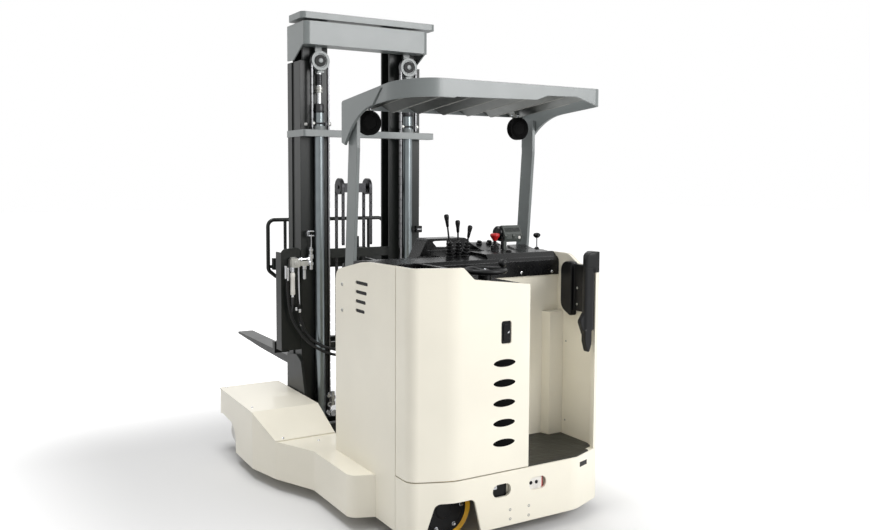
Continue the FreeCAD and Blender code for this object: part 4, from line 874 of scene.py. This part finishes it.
def bright_fittings(shape):
    """Plated pipes, nuts and the fitting stack on the plate beside the mast."""
    x = FITTING
    piped(shape, [at(x, 0.460, PIPE_HEIGHT), at(x, 0.366, PIPE_HEIGHT)], 0.0075)
    for y in (0.450, 0.400):
        nut(shape, at(x, y, PIPE_HEIGHT), FROM_LEFT, 0.0135, 0.018)
    turned(shape, at(x, 0.373, 1.168), UP, [
        (0, 0.009), (0.004, 0.013), (0.030, 0.013), (0.032, 0.0175), (0.050, 0.0175),
        (0.052, 0.011), (0.072, 0.011), (0.074, 0.0185), (0.098, 0.0185), (0.100, 0.012),
        (0.118, 0.012), (0.120, 0.016), (0.134, 0.016), (0.136, 0.010), (0.144, 0.010)], 14)
    nut(shape, at(x + 0.002, 0.392, 1.214), FROM_LEFT, 0.014, 0.022)
    piped(shape, [at(x, STACK_Y, 1.308), at(x, 0.368, 1.342), at(x, STACK_Y, 1.392)], 0.0035)
    for z in (1.384, 1.412):
        ring(shape, at(x, STACK_Y, z), UP, 0.0205, 0.0035, segments=24, sides=8)
    block(shape, at(x - 0.010, 0.384, 1.380), at(x + 0.010, 0.402, 1.416), 0.003)
    nut(shape, at(x, HOSE_END_Y, 1.004), UP, 0.0135, 0.014)
    nut(shape, at(x, 0.496, 1.160), UP, 0.0140, 0.030)
    for y, low, high in ((0.540, 1.121, 1.202), (0.526, 1.108, 1.190)):
        turned(shape, at(x, y, low), UP, [
            (0, 0.005), (0.004, 0.0072), (high - low - 0.02, 0.0072), (high - low, 0.009)], 16)
    piped(shape, [at(x, 0.457, 1.190), at(x, 0.456, 1.05), at(x, 0.452, 0.905)], 0.0058)
    turned(shape, at(x + 0.004, 0.417, 1.110), UP, [
        (0, 0.010), (0.003, 0.0125), (0.060, 0.0125), (0.064, 0.016), (0.086, 0.016)], sides=20)
    for y, z, wide in ((0.474, 0.918, 0.010), (0.451, 0.905, 0.0135), (0.440, 0.820, 0.0125)):
        nut(shape, at(x, y, z), UP, wide, 0.022)


def dark_fittings(shape):
    """Elbows and hose ends on the same plate."""
    x = FITTING
    piped(shape, [at(x, y, z) for y, z in (
        (0.452, 0.925), (0.451, 0.880), (0.442, 0.840), (0.436, 0.815), (0.422, 0.786))], 0.0095)
    turned(shape, at(x, HOSE_END_Y, 0.955), UP, [(0, 0.010), (0.004, 0.0125), (0.050, 0.0125)], 20)
    piped(shape, [at(x, HOSE_END_Y, 0.965), at(x, 0.500, 0.93), at(x + 0.004, 0.512, 0.90)], 0.008)


def hose_sleeve(shape):
    """The pale sleeve over the hose end under the valve block."""
    turned(shape, at(FITTING, 0.496, 1.018), UP, [
        (0, 0.0125), (0.004, 0.0150), (0.030, 0.0150), (0.034, 0.0140), (0.110, 0.0140),
        (0.114, 0.0150), (0.130, 0.0150), (0.140, 0.0110)], sides=20)


def rail_clamp(shape):
    """The hose clamp half way up beside the right ram."""
    block(shape, at(1.672, -0.412, 1.384), at(1.700, -0.366, 1.428), 0.003)
    block(shape, at(1.684, -0.372, 1.398), at(1.716, -0.340, 1.414), 0.002)


def rail_clamp_band(shape):
    block(shape, at(1.669, -0.406, 1.402), at(1.674, -0.372, 1.410), 0.001)


def ram_heads(shape):
    """Gland nuts on the lift rams, and the saddle clamps that hold them on the cross beam."""
    for side in SIDES:
        ram = at(RAM_X, side * RAM_Y, 0)
        turned(shape, ram + Vector((0, 0, 2.148)), UP, [
            (0, 0.0325), (0.004, 0.0345), (0.014, 0.0345), (0.016, 0.0320), (0.052, 0.0320),
            (0.057, 0.0290)], sides=32)
        ring(shape, ram + Vector((0, 0, 2.082)), UP, 0.037, 0.0055, segments=32, sides=10)
        block(shape, ram + Vector((-0.014, -0.078, 2.068)), ram + Vector((0.014, -0.034, 2.094)),
              0.004)


def ram_clamps(shape):
    """The clamps' bolts and rings, and the nut beside the left ram."""
    for side in SIDES:
        ram = at(RAM_X, side * RAM_Y, 2.082)
        for across in (-0.062, 0.044):
            hexagon_bolt(shape, ram + Vector((-0.016, across, 0)), BACK, 0.022)
        ring(shape, ram + Vector((-0.004, -0.020, 0.004)), (1, 0, 0.2), 0.014, 0.004, 20, 8)
    nut(shape, at(1.690, 0.407, 2.067), UP, 0.011, 0.016)


def manifold_fittings(shape):
    """Plated stack, elbow and caps of the hoses' manifold, low on the reach carriage."""
    x = MANIFOLD_X
    turned(shape, at(x, MANIFOLD_Y, 0.292), UP, [
        (0, 0.010), (0.003, 0.016), (0.022, 0.016), (0.024, 0.012), (0.040, 0.012),
        (0.042, 0.018), (0.060, 0.018), (0.062, 0.013), (0.088, 0.013), (0.090, 0.009)], sides=14)
    nut(shape, at(x, 0.270, 0.360), BACK, 0.013, 0.020)
    piped(shape, [at(x, MANIFOLD_Y, 0.345), at(x, 0.258, 0.352), at(x, 0.268, 0.378)], 0.0075)
    ring(shape, at(x - 0.004, 0.256, 0.300), AHEAD, 0.013, 0.005, segments=24, sides=8)
    turned(shape, at(x, MANIFOLD_Y, 0.243), BACK, [
        (0, 0.022), (0.012, 0.022), (0.015, 0.019), (0.015, 0.008)])
    nut(shape, at(x, 0.272, 0.252), BACK, 0.015, 0.014)


piece("valve_body", "motor_case", "outer_mast", valve_body, "valve_block")
piece("bright_fittings", "plated_rod", "outer_mast", bright_fittings)
piece("dark_fittings", "dark_steel", "outer_mast", dark_fittings)
piece("hose_sleeve", "pale_polyurethane", "outer_mast", hose_sleeve)
piece("rail_clamp", "hub_iron", "outer_mast", rail_clamp)
piece("rail_clamp_band", "plated_rod", "outer_mast", rail_clamp_band)
piece("ram_heads", "dark_steel", "outer_mast", ram_heads)
piece("ram_clamps", "motor_case", "outer_mast", ram_clamps)


# -------------------- lift rods and sheaves
SLEEVE_RINGS, SLEEVE_PITCH = 5, 0.014
SHEAVE_Y, SHEAVE_Z = 0.312, 2.468


def rod_sleeves(shape):
    """Ringed dark sleeves on the lift rods under their yokes."""
    rings = []
    for fold in range(SLEEVE_RINGS):
        z = SLEEVE_PITCH * fold
        rings += [(z, 0.0205), (z + 0.002, 0.0225), (z + 0.010, 0.0225), (z + 0.012, 0.0205)]
    for side in SIDES:
        turned(shape, at(RAM_X, side * RAM_Y, 2.318), UP, rings, sides=28)


def rod_collars(shape):
    """Stepped collars on the lift rods."""
    for side in SIDES:
        turned(shape, at(RAM_X, side * RAM_Y, 2.271), UP, [
            (0, 0.021), (0.002, 0.0245), (0.010, 0.0245), (0.012, 0.022), (0.018, 0.022),
            (0.020, 0.0265), (0.030, 0.0265), (0.032, 0.023), (0.038, 0.023), (0.040, 0.0205)], 28)


def on_sheaves(shape, ahead, steps, sides):
    """The same turned shape on the rear of both sheaves."""
    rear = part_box("lift_sheaves")[0][0]
    for side in SIDES:
        turned(shape, Vector((rear + ahead, side * SHEAVE_Y, SHEAVE_Z)), BACK, steps, sides)


def sheave_recess_shade(shape):
    """A flat dark disc round each sheave's hub: painted shade for a recess there."""
    on_sheaves(shape, 0.002, [(-0.0005, 0.036), (0.0006, 0.036)], 36)


def sheave_pins(shape):
    """The end of each sheave's pin."""
    on_sheaves(shape, 0.0005, [(-0.0005, 0.0150), (0.0012, 0.0150), (0.0018, 0.0125)], 28)


piece("rod_sleeves", "dark_steel", "middle_mast", rod_sleeves)
piece("rod_collars", "motor_case", "middle_mast", rod_collars)
# Painted shade: a flat dark disc on each sheave for its recess.
piece("sheave_recess_shade", "hub_iron", "middle_mast", sheave_recess_shade)
piece("sheave_pins", "grey_paint", "middle_mast", sheave_pins)
piece("manifold_fittings", "plated_rod", "outer_mast", manifold_fittings)


# -------------------- drive wheel
DRIVE_NUTS, NUT_CIRCLE, FIRST_NUT = 6, 0.098, math.radians(175)


def hub_face():
    """The middle of the drive hub's rear face."""
    low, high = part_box("drive_hub")
    return Vector((low[0], (low[1] + high[1]) / 2, (low[2] + high[2]) / 2))


def hub_plate(shape):
    """The flat dark cover plate on the drive hub, with its stepped middle."""
    turned(shape, hub_face(), BACK, [
        (-0.018, 0.104), (-0.003, 0.107), (-0.0005, 0.105), (-0.0005, 0.045), (0.004, 0.042),
        (0.006, 0.030)], sides=56)


def drive_bolts(shape):
    """The washers and nuts of the drive hub's cover plate."""
    for k in range(DRIVE_NUTS):
        turn = math.tau * k / DRIVE_NUTS + FIRST_NUT
        spot = hub_face() + NUT_CIRCLE * Vector((0, math.cos(turn), math.sin(turn)))
        turned(shape, spot, BACK, [(-0.001, 0.010), (0.002, 0.010)], sides=16)
        turned(shape, spot, BACK, [(0.001, 0.008), (0.009, 0.008), (0.011, 0.0065)], sides=6)


piece("drive_plate", "hub_iron", "drive_wheel", hub_plate)
piece("drive_bolts", "plated_rod", "drive_wheel", drive_bolts)


# -------------------- hydraulic hoses
# The routes of the source, in millimetres.
SUPPLY_ROUTE = [
    (1712, 458, 1115), (1710, 458, 990), (1702, 450, 865), (1680, 418, 765), (1634, 352, 701),
    (1586, 272, 673), (1572, 186, 658), (1589, 129, 591), (1650, 126, 506), (1694, 125, 414)]
RETURN_ROUTE = [
    (1712, 528, 1105), (1710, 526, 990), (1702, 508, 877), (1682, 462, 778), (1644, 392, 698),
    (1600, 308, 650), (1567, 222, 630), (1562, 125, 593), (1606, 77, 530), (1664, 80, 466),
    (1694, 84, 414)]
HOSE_DIAMETER = 0.018


def make_hose(name, node, route):
    points = [at(x / 1000, y / 1000, z / 1000) for x, y, z in route]
    curve = smooth_curve(name, points, HOSE_DIAMETER / 2, HOSE_ROUNDNESS)
    hose = bpy.data.objects.new(name, curve)
    bpy.context.collection.objects.link(hose)
    curve.materials.append(MATERIALS["hose_rubber"])
    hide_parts(node)
    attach(hose, "outer_mast")


make_hose("supply_hose_line", "supply_hose", SUPPLY_ROUTE)
make_hose("return_hose_line", "return_hose", RETURN_ROUTE)


# -------------------- camera
CAMERA = (-3.3805, 2.4887, 1.75)
YAW, PITCH, ROLL = -0.5358, 0.0699, 0.0044      # radians
IMAGE = (870, 530)                              # pixels, as the two below
FOCAL = 873.08
PRINCIPAL = (435.0, 238.64)
SENSOR = 36                                     # millimetres
CLIP_END = 200


def make_camera():
    """The camera that took the photo, as fitted to its straight edges."""
    forward = Vector((math.cos(YAW) * math.cos(PITCH), math.sin(YAW) * math.cos(PITCH),
                      -math.sin(PITCH)))
    right = Vector((math.sin(YAW), -math.cos(YAW), 0))
    up = right.cross(forward)
    rolled = math.cos(ROLL) * right + math.sin(ROLL) * up
    rolled_up = -math.sin(ROLL) * right + math.cos(ROLL) * up
    camera = bpy.data.objects.new("camera", bpy.data.cameras.new("camera"))
    bpy.context.collection.objects.link(camera)
    turn = Matrix((rolled, rolled_up, -forward)).transposed()
    camera.matrix_world = Matrix.Translation(at(*CAMERA)) @ turn.to_4x4()
    camera.data.sensor_width = SENSOR
    camera.data.lens = FOCAL / IMAGE[0] * SENSOR
    camera.data.shift_x = -(PRINCIPAL[0] - IMAGE[0] / 2) / IMAGE[0]
    camera.data.shift_y = (PRINCIPAL[1] - IMAGE[1] / 2) / IMAGE[0]
    camera.data.clip_end = CLIP_END
    bpy.context.scene.camera = camera


make_camera()


# -------------------- studio
SKY = 0.50
FLOOR_HALF = 40
FLOOR_DROP = 0.001          # keeps the floor just under the tyres
# The floor's glow for the camera and its colour fall off towards a box at the truck's left: a
# painted shadow there, on top of the shadow that the lamps cast.
PAINTED_SHADOW_MIDDLE = (-0.7, 0.7, 0)
PAINTED_SHADOW_HALF = (1.2, 0.7, 0)
SHADOW_GLOW, FLOOR_GLOW, GLOW_REACH = 0.0, 0.58, 2.1
SHADOW_FLOOR, FAR_FLOOR, COLOUR_REACH = 0.66, 0.92, 1.6
# Each lamp: its place, the spot it faces, its two sides and its watts.
STUDIO_LAMPS = {
    "key": ((-6.2, -2.8, 3.6), (-0.8, 0, 1.0), (3.2, 3.2), 254),
    "overhead": ((0.2, 1.3, 7.0), (0.2, 0.9, 0.0), (4, 3), 310),
    "left_fill": ((-1.5, 6.5, 3.5), (0, 0, 1.0), (4, 3), 4),
}


def mixed(tree, factor, first, second):
    """One shader where the factor is 0 and another where it is 1."""
    mix = tree.nodes.new("ShaderNodeMixShader")
    tree.links.new(factor, mix.inputs["Fac"])
    tree.links.new(first.outputs[0], mix.inputs[1])
    tree.links.new(second.outputs[0], mix.inputs[2])
    return mix


def make_floor():
    """The pale floor: a matt surface, with a glow that only the camera sees; both are lowered near
    the truck's left as a painted shadow.
    """
    mesh = bpy.data.meshes.new("floor")
    half = FLOOR_HALF
    mesh.from_pydata([(-half, -half, 0), (half, -half, 0), (half, half, 0), (-half, half, 0)],
                     [], [(0, 1, 2, 3)])
    floor = bpy.data.objects.new("floor", mesh)
    bpy.context.collection.objects.link(floor)
    floor.location.z = -FLOOR_DROP
    material, tree, shader = node_material("floor_white")
    shader.inputs["Roughness"].default_value = 0.85
    glow = add_node(tree, "ShaderNodeEmission")
    source = tree.nodes.new("ShaderNodeTexCoord").outputs["Object"]
    for step, values in (("SUBTRACT", PAINTED_SHADOW_MIDDLE), ("ABSOLUTE", None), ("SUBTRACT", PAINTED_SHADOW_HALF),
                         ("MAXIMUM", (0, 0, 0)), ("LENGTH", None)):
        node = tree.nodes.new("ShaderNodeVectorMath")
        node.operation = step
        if values:
            node.inputs[1].default_value = values
        tree.links.new(source, node.inputs[0])
        source = node.outputs["Value" if step == "LENGTH" else "Vector"]
    # Painted shadow: the glow and the base colour are lowered in and near that box.
    for near, far, reach, target in (
            (SHADOW_GLOW, FLOOR_GLOW, GLOW_REACH, glow.inputs["Strength"]),
            (SHADOW_FLOOR, FAR_FLOOR, COLOUR_REACH, shader.inputs["Base Color"])):
        fade = add_node(tree, "ShaderNodeMapRange", From_Max=reach, To_Min=near, To_Max=far)
        fade.interpolation_type = "SMOOTHSTEP"
        tree.links.new(source, fade.inputs["Value"])
        tree.links.new(fade.outputs["Result"], target)
    paths = tree.nodes.new("ShaderNodeLightPath")
    off = add_node(tree, "ShaderNodeEmission", Strength=0.0)
    seen = mixed(tree, paths.outputs["Is Camera Ray"], off, glow)
    both = tree.nodes.new("ShaderNodeAddShader")
    tree.links.new(shader.outputs[0], both.inputs[0])
    tree.links.new(seen.outputs[0], both.inputs[1])
    tree.links.new(both.outputs[0], tree.nodes["Material Output"].inputs["Surface"])
    mesh.materials.append(material)


def make_world():
    """Soft sky light, which the camera and clear or glossy surfaces see as white."""
    world = bpy.data.worlds.new("studio")
    bpy.context.scene.world = world
    world.use_nodes = True
    tree = world.node_tree
    background = tree.nodes["Background"]
    background.inputs["Color"].default_value = (1, 1, 1, 1)
    background.inputs["Strength"].default_value = SKY
    seen = add_node(tree, "ShaderNodeBackground", Color=(1, 1, 1, 1), Strength=1.0)
    paths = tree.nodes.new("ShaderNodeLightPath")
    either = paths.outputs["Is Camera Ray"]
    for kind in ("Is Transmission Ray", "Is Glossy Ray"):
        wider = tree.nodes.new("ShaderNodeMath")
        wider.operation = "MAXIMUM"
        tree.links.new(either, wider.inputs[0])
        tree.links.new(paths.outputs[kind], wider.inputs[1])
        either = wider.outputs[0]
    choose = mixed(tree, either, background, seen)
    tree.links.new(choose.outputs[0], tree.nodes["World Output"].inputs["Surface"])


def make_lamps():
    """Three soft rectangular lamps."""
    for name, (place, aim, size, watts) in STUDIO_LAMPS.items():
        light = bpy.data.lights.new(name, "AREA")
        light.shape = "RECTANGLE"
        light.size, light.size_y = size
        light.energy = watts
        lamp = bpy.data.objects.new(name, light)
        bpy.context.collection.objects.link(lamp)
        lamp.location = place
        lamp.rotation_euler = (Vector(aim) - Vector(place)).to_track_quat("-Z", "Y").to_euler()


make_floor()
make_world()
make_lamps()
bpy.context.scene.view_settings.view_transform = "Standard"
